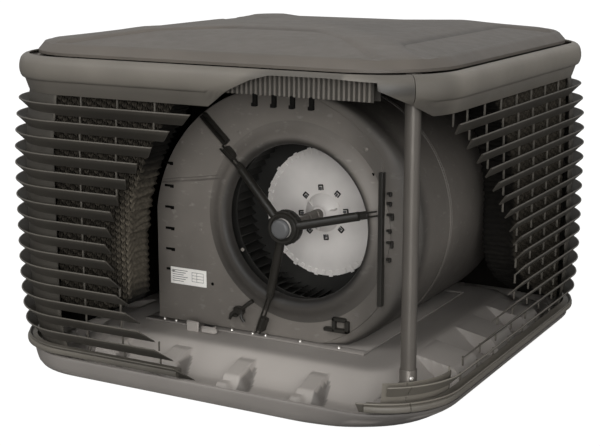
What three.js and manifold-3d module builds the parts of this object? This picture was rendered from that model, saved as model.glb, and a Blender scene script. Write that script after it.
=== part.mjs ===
// Roof-type evaporative cooler, shown as a cutaway display unit.
// Millimetres, +Z up.  Origin: centre of the tank's underside.
// Front = -Y, right = +X.  The front and right pad frames and their pads have a window
// cut in them, through which the fan scroll, the spider and the tank are seen.

import * as THREE from 'three'
import { mergeVertices } from 'three/addons/utils/BufferGeometryUtils.js'
import Module from 'manifold-3d'

const wasm = await Module()
wasm.setup()

// ---------------------------------------------------------------- driving dimensions
const GAP = 0.35 // clearance left between pieces that touch

// cabinet
const TANK_RIM_Z = 50
const PLATEAU_Z = 88
const RAIL_BOTTOM_Z = 57
const BAND_BOTTOM_Z = 672
const BAND_LIP_Z = 702
const BAND_TOP_Z = 757
const LID_EDGE_Z = 758
const LID_HALF = 530
const LID_CORNER = 200
const BAND_HALF = 562
const BAND_CORNER = 198
const MITRE_ANGLE = 0.3 // degrees left off each side of a corner joint

// louvre bank of one pad frame
const BLADE_COUNT = 16
const BLADE_TOP_Z = 654
const BLADE_PITCH = 38.4
const BLADE_HALF = 576.5
const BLADE_CORNER = 196
const BLADE_TAPER = 0.0036 // inset grows with the fourth power of the distance from mid-bank
const BLADE_DEPTH = 27
const BLADE_DROP = 22
const BLADE_ROOT = 4.5 // height of the inner edge, the lip is sharp
const MULLIONS = [-404, 0, 404]

// posts, pads and water distributors
const POST = { x: 482, y: -464, radius: 16.75, wall: 2.2, bottom: 106, top: 756 }
const PAD = { outer: 529, inner: 448, half: 390, bottom: 70, top: 694 }
const TROUGH = { y: -504, width: 36, half: 421, bottom: 700, top: 749, wall: 2.5 }
const MANIFOLD = { half: 440, corner: 60, z: 735, radius: 10 }

// duct outlet
const OUTLET_HALF = 277
const COLLAR_HALF = 275
const BASE_PLATE_TOP = 94

// fan and scroll, all on one axis that runs front to back
const AXIS = { x: 115, z: 376 }
const SCROLL_FRONT = -287
const SCROLL_BACK = 285
const SCROLL_SEAM = -100
const SCROLL_LEFT = -277
const SCROLL_SHOULDER = 32
const SCROLL_WALL = 4
const WRAP_RADIUS = 308
const PLATE_EDGE_X = 332
const INLET_HOLE = 200
const INLET_RIM = 212
const THROAT = 183
const WHEEL = { outer: 226, inner: 191, web: 150, disc: 160, half: 241, discY: -150 }
const SHAFT_RADIUS = 10
const HUB_FRONT = -358
const ARMS = [{ angle: 12.5, reach: 215 }, { angle: 141, reach: 345 }, { angle: 251, reach: 285 }]

// sump pocket in the back left of the tank, with the pump, drain and float in it
const SUMP = { x: -362, halfX: 63, front: 120, back: 426, floor: 6, wall: 4 }
const PUMP_Y = 375
const DRAIN_Y = 275
const FLOAT_PIVOT = { y: 92, z: 112 }

// ---------------------------------------------------------------- small helpers
const rad = THREE.MathUtils.degToRad
const cooler = new THREE.Group()

const materials = {
  cabinet: new THREE.MeshStandardMaterial({ color: 0x645f58, roughness: 0.6, metalness: 0 }),
  lid: new THREE.MeshStandardMaterial({ color: 0x736c64, roughness: 0.55, metalness: 0 }),
  louvre: new THREE.MeshStandardMaterial({ color: 0x46423c, roughness: 0.6, metalness: 0 }),
  tank: new THREE.MeshStandardMaterial({ color: 0x7d7871, roughness: 0.6, metalness: 0 }),
  scroll: new THREE.MeshStandardMaterial({ color: 0x645f5a, roughness: 0.7, metalness: 0 }),
  pad: new THREE.MeshStandardMaterial({ color: 0x2a2620, roughness: 0.95, metalness: 0 }),
  post: new THREE.MeshStandardMaterial({ color: 0x827f78, roughness: 0.45, metalness: 0.4 }),
  black: new THREE.MeshStandardMaterial({ color: 0x1d1b19, roughness: 0.5, metalness: 0 }),
  steel: new THREE.MeshStandardMaterial({ color: 0xa5a09b, roughness: 0.35, metalness: 0.8 }),
  white: new THREE.MeshStandardMaterial({ color: 0xe6e4df, roughness: 0.6, metalness: 0 }),
}

function addPart(name, geometry, material) {
  const mesh = new THREE.Mesh(geometry, materials[material])
  mesh.name = name
  cooler.add(mesh)
  return mesh
}

function solidOf(geometry) {
  const plain = geometry.clone()
  plain.deleteAttribute('normal')
  plain.deleteAttribute('uv')
  const merged = mergeVertices(plain, 1e-4)
  return new wasm.Manifold(new wasm.Mesh({
    numProp: 3,
    vertProperties: new Float32Array(merged.attributes.position.array),
    triVerts: new Uint32Array(merged.index.array),
  }))
}

function geometryOf(solid) {
  const mesh = solid.getMesh()
  const geometry = new THREE.BufferGeometry()
  geometry.setAttribute('position', new THREE.BufferAttribute(mesh.vertProperties, 3))
  geometry.setIndex(new THREE.BufferAttribute(mesh.triVerts, 1))
  geometry.computeVertexNormals()
  return geometry
}

const join = (...geometries) =>
  geometryOf(geometries.map(solidOf).reduce((whole, piece) => whole.add(piece)))

const cut = (geometry, ...tools) =>
  geometryOf(tools.map(solidOf).reduce((whole, tool) => whole.subtract(tool), solidOf(geometry)))

// a box between two corners
function block(x0, x1, y0, y1, z0, z1) {
  const geometry = new THREE.BoxGeometry(x1 - x0, y1 - y0, z1 - z0)
  return geometry.translate((x0 + x1) / 2, (y0 + y1) / 2, (z0 + z1) / 2)
}

// a solid cylinder along Z
function rod(x, y, z0, z1, radius, sides = 16) {
  const geometry = new THREE.CylinderGeometry(radius, radius, z1 - z0, sides)
  return geometry.rotateX(Math.PI / 2).translate(x, y, (z0 + z1) / 2)
}

function profileArea(profile) {
  return profile.reduce((sum, [r, h], i) => {
    const [nextR, nextH] = profile[(i + 1) % profile.length]
    return sum + (r * nextH - nextR * h) / 2
  }, 0)
}

// a turned piece on the Z axis, from a list of [radius, height] round its section
function turned(profile, sides = 16) {
  const ordered = profileArea(profile) > 0 ? profile : [...profile].reverse()
  const points = ordered.map(([r, h]) => new THREE.Vector2(r, h))
  const onAxis = points.findIndex((point, i) => point.x === 0 && points.at(i - 1).x === 0)
  const section = onAxis < 0
    ? [...points, points[0].clone()]
    : [...points.slice(onAxis), ...points.slice(0, onAxis)]
  return new THREE.LatheGeometry(section, sides).rotateX(Math.PI / 2)
}

// the same, turned about the fan axis: heights are places along Y
function turnedOnFanAxis(profile, sides = 16) {
  return turned(profile, sides).rotateX(-Math.PI / 2).translate(AXIS.x, 0, AXIS.z)
}

// a flat outline in the XZ plane, thickened from y0 to y1
function plateXZ(outline, y0, y1, holes = []) {
  const shape = new THREE.Shape(outline)
  shape.holes = holes.map((hole) => new THREE.Path(hole))
  const geometry = new THREE.ExtrudeGeometry(shape, { depth: y1 - y0, bevelEnabled: false })
  return geometry.rotateX(Math.PI / 2).translate(0, y1, 0)
}

function signedVolume(points, faces) {
  const [a, b, c] = [new THREE.Vector3(), new THREE.Vector3(), new THREE.Vector3()]
  return faces.reduce((sum, [i, j, k]) => {
    a.set(...points[i])
    b.set(...points[j])
    c.set(...points[k])
    return sum + a.dot(b.cross(c)) / 6
  }, 0)
}

// a closed mesh, turned so that its faces point out
function meshOf(points, faces) {
  const outward = signedVolume(points, faces) > 0
  const geometry = new THREE.BufferGeometry()
  geometry.setAttribute('position', new THREE.Float32BufferAttribute(points.flat(), 3))
  geometry.setIndex(faces.flatMap(([i, j, k]) => (outward ? [i, j, k] : [i, k, j])))
  const flat = geometry.toNonIndexed()
  flat.computeVertexNormals()
  return flat
}

// joins rings of equal point count into a body; closed: last ring meets the first,
// otherwise each end ring is filled by a fan about its middle
function ringLoft(rings, closed) {
  const count = rings[0].length
  const points = rings.flat()
  const faces = []
  const last = closed ? rings.length : rings.length - 1
  for (let i = 0; i < last; i++) {
    const here = i * count
    const next = ((i + 1) % rings.length) * count
    for (let k = 0; k < count; k++) {
      const k1 = (k + 1) % count
      faces.push([here + k, here + k1, next + k1], [here + k, next + k1, next + k])
    }
  }
  if (!closed) {
    const middle = (ring) => [0, 1, 2].map((c) => ring.reduce((sum, p) => sum + p[c], 0) / count)
    points.push(middle(rings[0]), middle(rings.at(-1)))
    const end = (rings.length - 1) * count
    for (let k = 0; k < count; k++) {
      const k1 = (k + 1) % count
      faces.push([points.length - 2, k1, k], [points.length - 1, end + k, end + k1])
    }
  }
  return meshOf(points, faces)
}

// rounded square, counter-clockwise, as a ring at one height; tuck draws its right side in
function squareRing([half, corner, z, tuck = 0], steps = 6) {
  const ring = []
  const centre = half - corner
  for (const [sx, sy, start] of [[1, -1, -90], [1, 1, 0], [-1, 1, 90], [-1, -1, 180]]) {
    for (let i = 0; i <= steps; i++) {
      const angle = rad(start + (90 * i) / steps)
      const x = sx * centre + corner * Math.cos(angle)
      const y = sy * centre + corner * Math.sin(angle)
      ring.push([x > 0 ? x * (1 - tuck / half) : x, y, z])
    }
  }
  return ring
}

const squareLoft = (rings, closed) => ringLoft(rings.map((ring) => squareRing(ring)), closed)

// ---------------------------------------------------------------- tank and duct outlet
function postPlaces() {
  const { x, y } = POST
  return [[x, y], [-y, x], [-x, -y], [y, -x]]
}

function tank() {
  const shell = squareLoft([
    [478, 130, 0], [478, 130, 26], [405, 50, 74], [300, 12, 78], [300, 12, 0],
    [OUTLET_HALF, 6, 0], [OUTLET_HALF, 6, PLATEAU_Z], [412, 70, PLATEAU_Z], [432, 90, 62],
    [500, 150, 40], [532, 176, 38], [545, 187, TANK_RIM_Z - 2], [549, 190, TANK_RIM_Z],
    [553, 194, TANK_RIM_Z], [556, 196, TANK_RIM_Z - 4], [553, 194, 26, 12], [547, 190, 6, 32],
    [536, 182, 0, 32],
  ].reverse(), true)
  const { x, halfX, front, back, floor, wall } = SUMP
  const pocket = block(x - halfX - wall, x + halfX - 2, front - wall, back + wall, 0, PLATEAU_Z - 6)
  const hollow = block(x - halfX, x + halfX - 6, front, back, floor, 200)
  const bosses = postPlaces().map(([px, py]) => rod(px, py, 30, POST.bottom - 6, 16, 12))
  return cut(join(shell, pocket, ...bosses), hollow, rod(SUMP.x, DRAIN_Y, -5, 20, 15.5, 16))
}
addPart('tank', tank(), 'tank')

addPart('duct_collar', squareLoft([
  [COLLAR_HALF - 3, 4, 0], [COLLAR_HALF, 5, 0], [COLLAR_HALF, 5, PLATEAU_Z],
  [COLLAR_HALF - 3, 4, PLATEAU_Z],
], true), 'steel')

const SCROLL_OUTLET_RIGHT = 86
addPart('scroll_base_plate', cut(
  block(-305, 300, -305, 300, PLATEAU_Z + GAP, BASE_PLATE_TOP - GAP),
  block(SCROLL_LEFT + SCROLL_WALL, SCROLL_OUTLET_RIGHT, -282, 280, 80, 110),
), 'tank')

// ---------------------------------------------------------------- lid
addPart('lid', squareLoft([
  [0.5, 0.2, 812], [318, 60, 806], [503, 152, 778], [524, 195, LID_EDGE_Z + GAP],
  [LID_HALF, LID_CORNER, LID_EDGE_Z + GAP], [LID_HALF, LID_CORNER, 766], [510, 160, 784],
  [322, 62, 811], [0.5, 0.2, 818],
], false), 'lid')

// ---------------------------------------------------------------- pad frames
const FRAME_SIDES = [['front', 0], ['right', 90], ['back', 180], ['left', -90]]

// stations of a sweep round one side: half a corner, the straight, half a corner
function sideStations(half, corner) {
  const stations = []
  const centre = half - corner
  const steps = 3
  for (let i = 0; i <= steps; i++) {
    const angle = rad(225 + MITRE_ANGLE + ((45 - MITRE_ANGLE) * i) / steps)
    stations.push([-centre, -centre, corner, angle])
  }
  for (let i = 0; i <= steps; i++) {
    const angle = rad(270 + ((45 - MITRE_ANGLE) * i) / steps)
    stations.push([centre, -centre, corner, angle])
  }
  return stations
}

// sweeps a section, a list of [outward offset, height], along stations
function sweepSide(section, stations) {
  const place = ([cx, cy, corner, angle], [offset, z]) => [
    cx + (corner + offset) * Math.cos(angle), cy + (corner + offset) * Math.sin(angle), z]
  return ringLoft(stations.map((station) => section.map((point) => place(station, point))), false)
}

function bladeHalf(index) {
  const fromMiddle = index - (BLADE_COUNT - 1) / 2
  return BLADE_HALF - BLADE_TAPER * fromMiddle ** 4
}

function blade(index) {
  const z = BLADE_TOP_Z - BLADE_PITCH * index
  const section = [
    [0, z], [-BLADE_DEPTH, z - BLADE_DROP], [-BLADE_DEPTH, z - BLADE_DROP - BLADE_ROOT],
  ]
  return sweepSide(section, sideStations(bladeHalf(index), BLADE_CORNER))
}

// a bulging rail that curls under to a lip, then falls inwards like a blade
function topBand() {
  const section = [
    [-21, BAND_BOTTOM_Z], [-11, BAND_LIP_Z - 2], [-7, BAND_LIP_Z], [-1, 711], [1, 722], [-1, 738],
    [-6, 749], [-15, 755], [-24, BAND_TOP_Z], [-24, BAND_TOP_Z - 3], [-16, 751], [-9, 746],
    [-4, 737], [-2, 722], [-4, 713], [-10, 705], [-14, BAND_LIP_Z - 2], [-24, BAND_BOTTOM_Z],
  ]
  return sweepSide(section, sideStations(BAND_HALF, BAND_CORNER))
}

function bottomRail() {
  const section = [[-24, RAIL_BOTTOM_Z], [-4, RAIL_BOTTOM_Z], [-1, 62], [-1, 70], [-5, 72], [-24, 72]]
  return sweepSide(section, sideStations(564, 180))
}

function fullFrame() {
  const blades = Array.from({ length: BLADE_COUNT }, (_, index) => blade(index))
  const posts = MULLIONS.map((x) => block(x - 3, x + 3, -556, -544, 60, 690))
  return join(topBand(), bottomRail(), ...blades, ...posts)
}

// edge of the front window: a bowl-shaped curve, x against height
const frontCutX = (z) => -220 + (z > 330 ? 0.0022 : 0.0027) * (z - 330) ** 2

// edge of the right window, y against height
const rightCutY = (z) => (z > 270
  ? -5 - 0.099 * (z - 270) ** 1.4
  : -5 - 0.00148 * (270 - z) ** 2.47)

// points along a window edge between two heights
function edgePoints(edge, z0, z1, steps) {
  return Array.from({ length: steps + 1 }, (_, i) => {
    const z = z0 + ((z1 - z0) * i) / steps
    return new THREE.Vector2(edge(z), z)
  })
}

const CORNER_BLADES_TOP = 124 // the two lowest blades run on round the near corner
// the front window's edge through the band, from the last blade up, over and down again
const BAND_CUT = [
  [540, 673], [516, 687], [492, 700], [463, 717], [448, 728], [448, 743], [330, 748],
  [194, 748], [158, 736], [104, 712], [78, 698],
]

function frontWindow() {
  const outline = [
    ...edgePoints(frontCutX, 656, 73, 12),
    new THREE.Vector2(392, 73), new THREE.Vector2(392, CORNER_BLADES_TOP),
    new THREE.Vector2(700, CORNER_BLADES_TOP), new THREE.Vector2(700, 656),
    ...BAND_CUT.map(([x, z]) => new THREE.Vector2(x, z)),
  ]
  return plateXZ(outline, -700, -350)
}

function rightWindow() {
  const outline = [
    ...edgePoints(rightCutY, CORNER_BLADES_TOP, 657, 12),
    new THREE.Vector2(-458, 673), new THREE.Vector2(-504, 694),
    new THREE.Vector2(-700, 694), new THREE.Vector2(-700, CORNER_BLADES_TOP),
  ]
  return plateXZ(outline, -700, -350)
}

// the pads are cut back further than the blades
const frontPadCutX = (z) => -186 + 0.00115 * Math.max(0, z - 330) ** 2
const rightPadCutY = (z) =>
  45 - 0.0016 * Math.max(0, z - 360) ** 2 + 0.0075 * Math.max(0, 300 - z) ** 2

function padBlock() {
  const { outer, inner, half, bottom, top } = PAD
  return block(-half, half, -outer, -inner, bottom, top)
}

function frontPad() {
  const outline = [
    ...edgePoints(frontPadCutX, 720, 215, 6),
    new THREE.Vector2(-210, 190), new THREE.Vector2(-300, 165), new THREE.Vector2(-460, 150),
    new THREE.Vector2(-460, 40), new THREE.Vector2(460, 40), new THREE.Vector2(460, 720),
  ]
  return cut(padBlock(), plateXZ(outline, -600, -400))
}

function rightPad() {
  const outline = [
    ...edgePoints(rightPadCutY, 60, 720, 10),
    new THREE.Vector2(-460, 720), new THREE.Vector2(-460, 60),
  ]
  return cut(padBlock(), plateXZ(outline, -600, -400))
}

function distributor() {
  const { y, width, half, bottom, top, wall } = TROUGH
  const y0 = y - width / 2
  const y1 = y + width / 2
  return cut(block(-half, half, y0, y1, bottom, top),
    block(-half - 5, half + 5, y0 + wall, y1 - wall, bottom - 5, top - wall))
}

const windows = { front: frontWindow, right: rightWindow }
const pads = { front: frontPad, right: rightPad, back: padBlock, left: padBlock }
for (const [side, turn] of FRAME_SIDES) {
  const whole = fullFrame()
  const frame = side in windows ? cut(whole, windows[side]()) : whole
  addPart(`pad_frame_${side}`, frame.rotateZ(rad(turn)), 'louvre')
  addPart(`cooling_pad_${side}`, pads[side]().rotateZ(rad(turn)), 'pad')
  addPart(`water_distributor_${side}`, distributor().rotateZ(rad(turn)), 'scroll')
}

// ---------------------------------------------------------------- corner posts
const POST_NAMES = ['front_right', 'back_right', 'back_left', 'front_left']
postPlaces().forEach(([x, y], i) => {
  const { radius, wall, bottom, top } = POST
  const inside = radius - wall
  const tube = turned([[inside, bottom], [radius, bottom], [radius, top], [inside, top]], 12)
  addPart(`corner_post_${POST_NAMES[i]}`, tube.translate(x, y, 0), 'post')
  const foot = turned([
    [0, bottom - 5], [24, bottom - 5], [24, bottom - 1], [21, bottom + 1],
    [20.5, bottom + 30], [radius + GAP, bottom + 30], [radius + GAP, bottom - 1], [0, bottom - 1],
  ], 12)
  addPart(`post_foot_${POST_NAMES[i]}`, foot.translate(x, y, 0), 'post')
})

// ---------------------------------------------------------------- water circuit
function manifold() {
  const { half, corner, z, radius } = MANIFOLD
  const ring = [[-1, -1], [1, -1], [1, 1], [-1, 1]].map(([u, v]) =>
    squareRing([half + u * radius * 0.8, corner + u * radius * 0.8, z + v * radius * 0.8], 2))
  const stubs = FRAME_SIDES.map(([, turn]) =>
    rod(0, 0, half, -TROUGH.y - TROUGH.width / 2 - GAP, 7, 8)
      .rotateX(Math.PI / 2).translate(0, 0, z).rotateZ(rad(turn)))
  const branch = rod(0, 0, 362, half, 9, 8).rotateX(-Math.PI / 2).translate(SUMP.x, 0, z)
  return join(ringLoft(ring, true), ...stubs, branch)
}
addPart('distribution_manifold', manifold(), 'black')

addPart('riser_pipe', rod(SUMP.x, PUMP_Y, 196 + GAP, MANIFOLD.z - 9 - GAP, 9, 10), 'black')

const pumpPlace = (geometry) => geometry.translate(SUMP.x, PUMP_Y, 0)
addPart('pump_body', pumpPlace(turned([
  [0, 52], [36, 52], [38, 60], [38, 66], [32, 70], [32, 168], [26, 178], [12, 180], [12, 196],
  [0, 196],
], 16)), 'black')
addPart('pump_strainer', pumpPlace(turned([
  [30, 8], [44, 8], [44, 50], [30, 50], [30, 47], [41, 47], [41, 11], [30, 11],
], 16)), 'black')
function pumpImpeller() {
  const vanes = [0, 1, 2, 3, 4].map((i) => block(0, 26, -1.2, 1.2, 30, 44).rotateZ(rad(72 * i)))
  return join(rod(0, 0, 28, 31, 26, 15), rod(0, 0, 28, 50, 7, 10), ...vanes)
}
addPart('pump_impeller', pumpPlace(pumpImpeller()), 'white')

addPart('drain_valve_body', turned([
  [10, 1], [15, 1], [15, 6.5], [24, 6.5], [24, 14], [20, 16], [20, 30], [17, 30], [17, 14],
  [10, 14],
], 16).translate(SUMP.x, DRAIN_Y, 0), 'black')
addPart('drain_plunger', turned([
  [0, 14.5], [16, 14.5], [16, 20], [5, 24], [5, 120], [9, 122], [9, 130], [0, 130],
], 14).translate(SUMP.x, DRAIN_Y, 0), 'white')

addPart('inlet_valve', join(
  block(SUMP.x - 22, SUMP.x + 22, 40, 76, PLATEAU_Z + GAP, 130),
  rod(SUMP.x, 58, 120, 152, 10, 12),
), 'black')
function floatArm() {
  const { y, z } = FLOAT_PIVOT
  const pin = rod(0, 0, -12, 12, 5, 10).rotateY(Math.PI / 2).translate(SUMP.x, y, z)
  const lever = block(SUMP.x - 3, SUMP.x + 3, y, 175, z - 3, z + 3)
  const stem = block(SUMP.x - 3, SUMP.x + 3, 169, 175, 60, z)
  const bulb = turned([[0, 20], [20, 24], [26, 36], [26, 48], [20, 60], [0, 64]], 12)
  return join(pin, lever, stem, bulb.translate(SUMP.x, 172, 0))
}
addPart('float_arm', floatArm(), 'white')
addPart('level_probe', join(
  rod(SUMP.x, 231, 24, 130, 4, 8), rod(SUMP.x, 231, 118, 150, 12, 10),
), 'white')

// ---------------------------------------------------------------- fan scroll
const OUTLET_CORNER = 180 + THREE.MathUtils.radToDeg(
  Math.atan2(AXIS.z - BASE_PLATE_TOP, AXIS.x - SCROLL_LEFT))
const SCROLL_ANGLES = Array.from({ length: 36 }, (_, i) => -90 + 10 * i)
  .map((angle) => (angle === 220 ? OUTLET_CORNER : angle))

// plate edge, as a distance from the fan axis at an angle up from +X
function plateRadius(angle) {
  if (angle <= 73) {
    const round = 268 + 0.0037 * angle * angle
    const straight = Math.abs(angle) < 60 ? (PLATE_EDGE_X - AXIS.x) / Math.cos(rad(angle)) : round
    return Math.min(round, straight, wrapRadius(angle))
  }
  return wrapRadius(angle) - Math.max(0, 20 - (angle - 73))
}

// scroll wall: near-constant on the right, growing over the top to the straight left wall,
// then down to the outlet corner and along the flat bottom
function wrapRadius(angle) {
  const bottom = AXIS.z - BASE_PLATE_TOP
  const left = AXIS.x - SCROLL_LEFT
  if (angle < -45) return Math.min(WRAP_RADIUS, bottom / Math.abs(Math.sin(rad(angle))))
  if (angle < 95) return WRAP_RADIUS
  if (angle < 180) return WRAP_RADIUS + ((left - WRAP_RADIUS) * (angle - 95)) / 85
  if (angle < OUTLET_CORNER) return left / Math.abs(Math.cos(rad(angle)))
  return bottom / Math.abs(Math.sin(rad(angle)))
}

function aroundFan(radiusAt, y) {
  return SCROLL_ANGLES.map((angle) => {
    const radius = radiusAt(angle)
    return [AXIS.x + radius * Math.cos(rad(angle)), y, AXIS.z + radius * Math.sin(rad(angle))]
  })
}

function scrollShell(plateY, seamY) {
  const inward = Math.sign(seamY - plateY)
  const inner = (radiusAt) => (angle) => radiusAt(angle) - SCROLL_WALL
  const shoulder = plateY + inward * SCROLL_SHOULDER
  const rings = [
    aroundFan(() => INLET_HOLE, plateY),
    aroundFan(plateRadius, plateY),
    aroundFan(wrapRadius, shoulder),
    aroundFan(wrapRadius, seamY),
    aroundFan(inner(wrapRadius), seamY),
    aroundFan(inner(wrapRadius), shoulder + inward * 2),
    aroundFan(inner(plateRadius), plateY + inward * SCROLL_WALL),
    aroundFan(() => INLET_HOLE, plateY + inward * SCROLL_WALL),
  ]
  if (inward < 0) rings.reverse()
  const y0 = Math.min(plateY + inward * (SCROLL_WALL + 1), seamY + inward * 5)
  const y1 = Math.max(plateY + inward * (SCROLL_WALL + 1), seamY + inward * 5)
  const outlet = block(SCROLL_LEFT + SCROLL_WALL + 1, SCROLL_OUTLET_RIGHT - 1, y0, y1, 60, 110)
  return cut(ringLoft(rings, true), outlet)
}
addPart('scroll_front_shell', scrollShell(SCROLL_FRONT, SCROLL_SEAM), 'scroll')
addPart('scroll_rear_shell', scrollShell(SCROLL_BACK, SCROLL_SEAM + GAP), 'scroll')

// inlet ring that leads the air into the wheel; side is -1 at the front, +1 at the back
function bellmouth(face, side) {
  const profile = [
    [INLET_RIM, face + side * GAP], [INLET_RIM, face + side * 3], [206, face + side * 7],
    [199, face + side * 9], [191, face + side * 7], [186, face + side * 2],
    [THROAT, face - side * 4], [THROAT, face - side * 10], [THROAT + 3, face - side * 10],
    [188, face - side * 2], [194, face + side * GAP],
  ]
  return turnedOnFanAxis(profile, 20)
}
addPart('inlet_ring_front', bellmouth(SCROLL_FRONT, -1), 'scroll')
addPart('inlet_ring_rear', bellmouth(SCROLL_BACK, 1), 'scroll')

// tongue between the wheel and the outlet
addPart('cutoff_plate', plateXZ([
  [112, 99], [60, 128], [52, 140], [58, 148], [64, 148], [59, 139], [65, 131], [112, 104],
].map(([x, z]) => new THREE.Vector2(x, z)), -278, 276), 'scroll')

addPart('edge_channel', block(330, 340, SCROLL_FRONT - 16, SCROLL_FRONT - GAP, 209, 515), 'black')
const onPlate = (x0, x1, depth, z0, z1) =>
  block(x0, x1, SCROLL_FRONT - depth, SCROLL_FRONT - GAP, z0, z1)
addPart('rating_plate', onPlate(-239, -135, 1.6, 187, 229), 'white')
addPart('sensor_block', onPlate(-60, 8, 24, 118, 182), 'black')
addPart('cable_bracket', onPlate(192, 256, 14, 131, 166), 'black')

// ---------------------------------------------------------------- front spider
addPart('spider_hub', turnedOnFanAxis([
  [24, HUB_FRONT + 33], [38, HUB_FRONT + 33], [40, HUB_FRONT + 8], [34, HUB_FRONT], [24, HUB_FRONT],
], 18), 'black')
addPart('hub_cap', turnedOnFanAxis([
  [0, HUB_FRONT - 2], [23, HUB_FRONT - 2], [23, HUB_FRONT - 6], [17, HUB_FRONT - 13],
  [0, HUB_FRONT - 13],
].reverse(), 14), 'black')
const bearing = (y0, y1) => turnedOnFanAxis([
  [SHAFT_RADIUS + GAP, y1], [23.5, y1], [23.5, y0], [SHAFT_RADIUS + GAP, y0],
], 14)
addPart('front_bearing', bearing(HUB_FRONT + 10, HUB_FRONT + 28), 'steel')

// a tube from the hub back towards the plate, ending in a flat strap with a foot; the short
// arm's foot stands on the crown of the inlet ring, the others' on the scroll's plate
function spiderArm({ angle, reach }) {
  const short = reach < INLET_RIM + 30
  const lean = Math.atan2(36, 134)
  const tube = rod(0, 0, 0, 136, 10, 12).rotateY(Math.PI / 2).rotateZ(lean)
    .translate(43, HUB_FRONT + 18, 0)
  const strap = block(168, reach, SCROLL_FRONT - 19, SCROLL_FRONT - 11, -9, 9)
  const foot = short
    ? block(196, 204, SCROLL_FRONT - 15, SCROLL_FRONT - 9 - GAP, -9, 9)
    : block(reach - 40, reach, SCROLL_FRONT - 15, SCROLL_FRONT - GAP, -9, 9)
  return join(tube, strap, foot).rotateY(-rad(angle)).translate(AXIS.x, 0, AXIS.z)
}
ARMS.forEach((arm, i) => addPart(`spider_arm_${i + 1}`, spiderArm(arm), 'black'))

// ---------------------------------------------------------------- fan wheel
addPart('fan_shaft', turnedOnFanAxis([
  [0, 318], [SHAFT_RADIUS, 318], [SHAFT_RADIUS, HUB_FRONT + 9], [0, HUB_FRONT + 9],
], 12), 'steel')

addPart('wheel_disc', turnedOnFanAxis([
  [30, WHEEL.discY - GAP], [WHEEL.disc, WHEEL.discY - GAP], [WHEEL.disc, WHEEL.discY - 3.5],
  [30, WHEEL.discY - 3.5],
], 24), 'steel')

addPart('wheel_hub', turnedOnFanAxis([
  [SHAFT_RADIUS + GAP, -136], [29, -136], [29, WHEEL.discY - 4], [46, WHEEL.discY - 4],
  [46, WHEEL.discY - 9], [34, WHEEL.discY - 24], [20, WHEEL.discY - 30],
  [SHAFT_RADIUS + GAP, WHEEL.discY - 30],
], 20), 'steel')

function bladeRing() {
  const { outer, inner, web, half, discY } = WHEEL
  const hoop = (inside, y0, y1) =>
    turnedOnFanAxis([[inside, y1], [outer, y1], [outer, y0], [inside, y0]], 20)
  const blades = Array.from({ length: 20 }, (_, i) =>
    block(inner + 2, outer - 1, -half + 2, half - 2, -1.4, 1.4)
      .translate(-(inner + outer) / 2, 0, 0).rotateY(rad(28)).translate((inner + outer) / 2, 0, 0)
      .rotateY(rad(18 * i)).translate(AXIS.x, 0, AXIS.z))
  const hoops = [
    hoop(inner, -half, -half + 5), hoop(web, discY, discY + 5), hoop(inner, half - 5, half),
  ]
  return join(...hoops, ...blades)
}
addPart('blade_ring', bladeRing(), 'black')

// ---------------------------------------------------------------- motor
addPart('motor_body', turnedOnFanAxis([
  [SHAFT_RADIUS + 2, 108], [60, 108], [82, 98], [82, -92], [60, -104], [SHAFT_RADIUS + 2, -104],
], 20), 'black')

function motorBracket() {
  const y0 = SCROLL_BACK + 11
  const hub = turnedOnFanAxis([[24, y0 + 18], [40, y0 + 18], [40, y0], [24, y0]], 18)
  const arms = ARMS.map(({ angle }) => join(
    block(34, 262, y0 + 2, y0 + 10, -11, 11),
    block(246, 262, SCROLL_BACK + GAP, y0 + 4, -11, 11),
    block(50, 62, 108 + GAP, y0 + 6, -6, 6),
  ).rotateY(-rad(angle)).translate(AXIS.x, 0, AXIS.z))
  return join(hub, ...arms)
}
addPart('motor_bracket', motorBracket(), 'black')
addPart('rear_bearing', bearing(SCROLL_BACK + 11, SCROLL_BACK + 28), 'steel')

// ---------------------------------------------------------------- electronics
const BOX = { x0: -420, x1: SCROLL_LEFT - GAP, y0: 90, y1: 290, z0: 440, z1: 620 }
addPart('electronics_box', cut(
  block(BOX.x0 + 20, BOX.x1, BOX.y0, BOX.y1, BOX.z0, BOX.z1),
  block(BOX.x0 + 10, BOX.x1 - 4, BOX.y0 + 4, BOX.y1 - 4, BOX.z0 + 4, BOX.z1 - 4),
), 'black')
addPart('electronics_cover', cut(
  block(BOX.x0, BOX.x0 + 20 - GAP, BOX.y0, BOX.y1, BOX.z0, BOX.z1),
  block(BOX.x0 + 4, BOX.x0 + 30, BOX.y0 + 4, BOX.y1 - 4, BOX.z0 + 4, BOX.z1 - 4),
), 'black')
addPart('cable_gland', turned([
  [5, 400], [11, 400], [11, 424], [15, 426], [15, BOX.z0 - GAP], [5, BOX.z0 - GAP],
], 12).translate(-350, 190, 0), 'black')

export default cooler
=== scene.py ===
"""Looks of a roof-type evaporative cooler, a cutaway display unit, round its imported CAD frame.

Shapes are worked out in millimetres in the frame's own axes (front = -Y, right = +X) and
turned into metres when a mesh is made.
"""

import math

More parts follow.
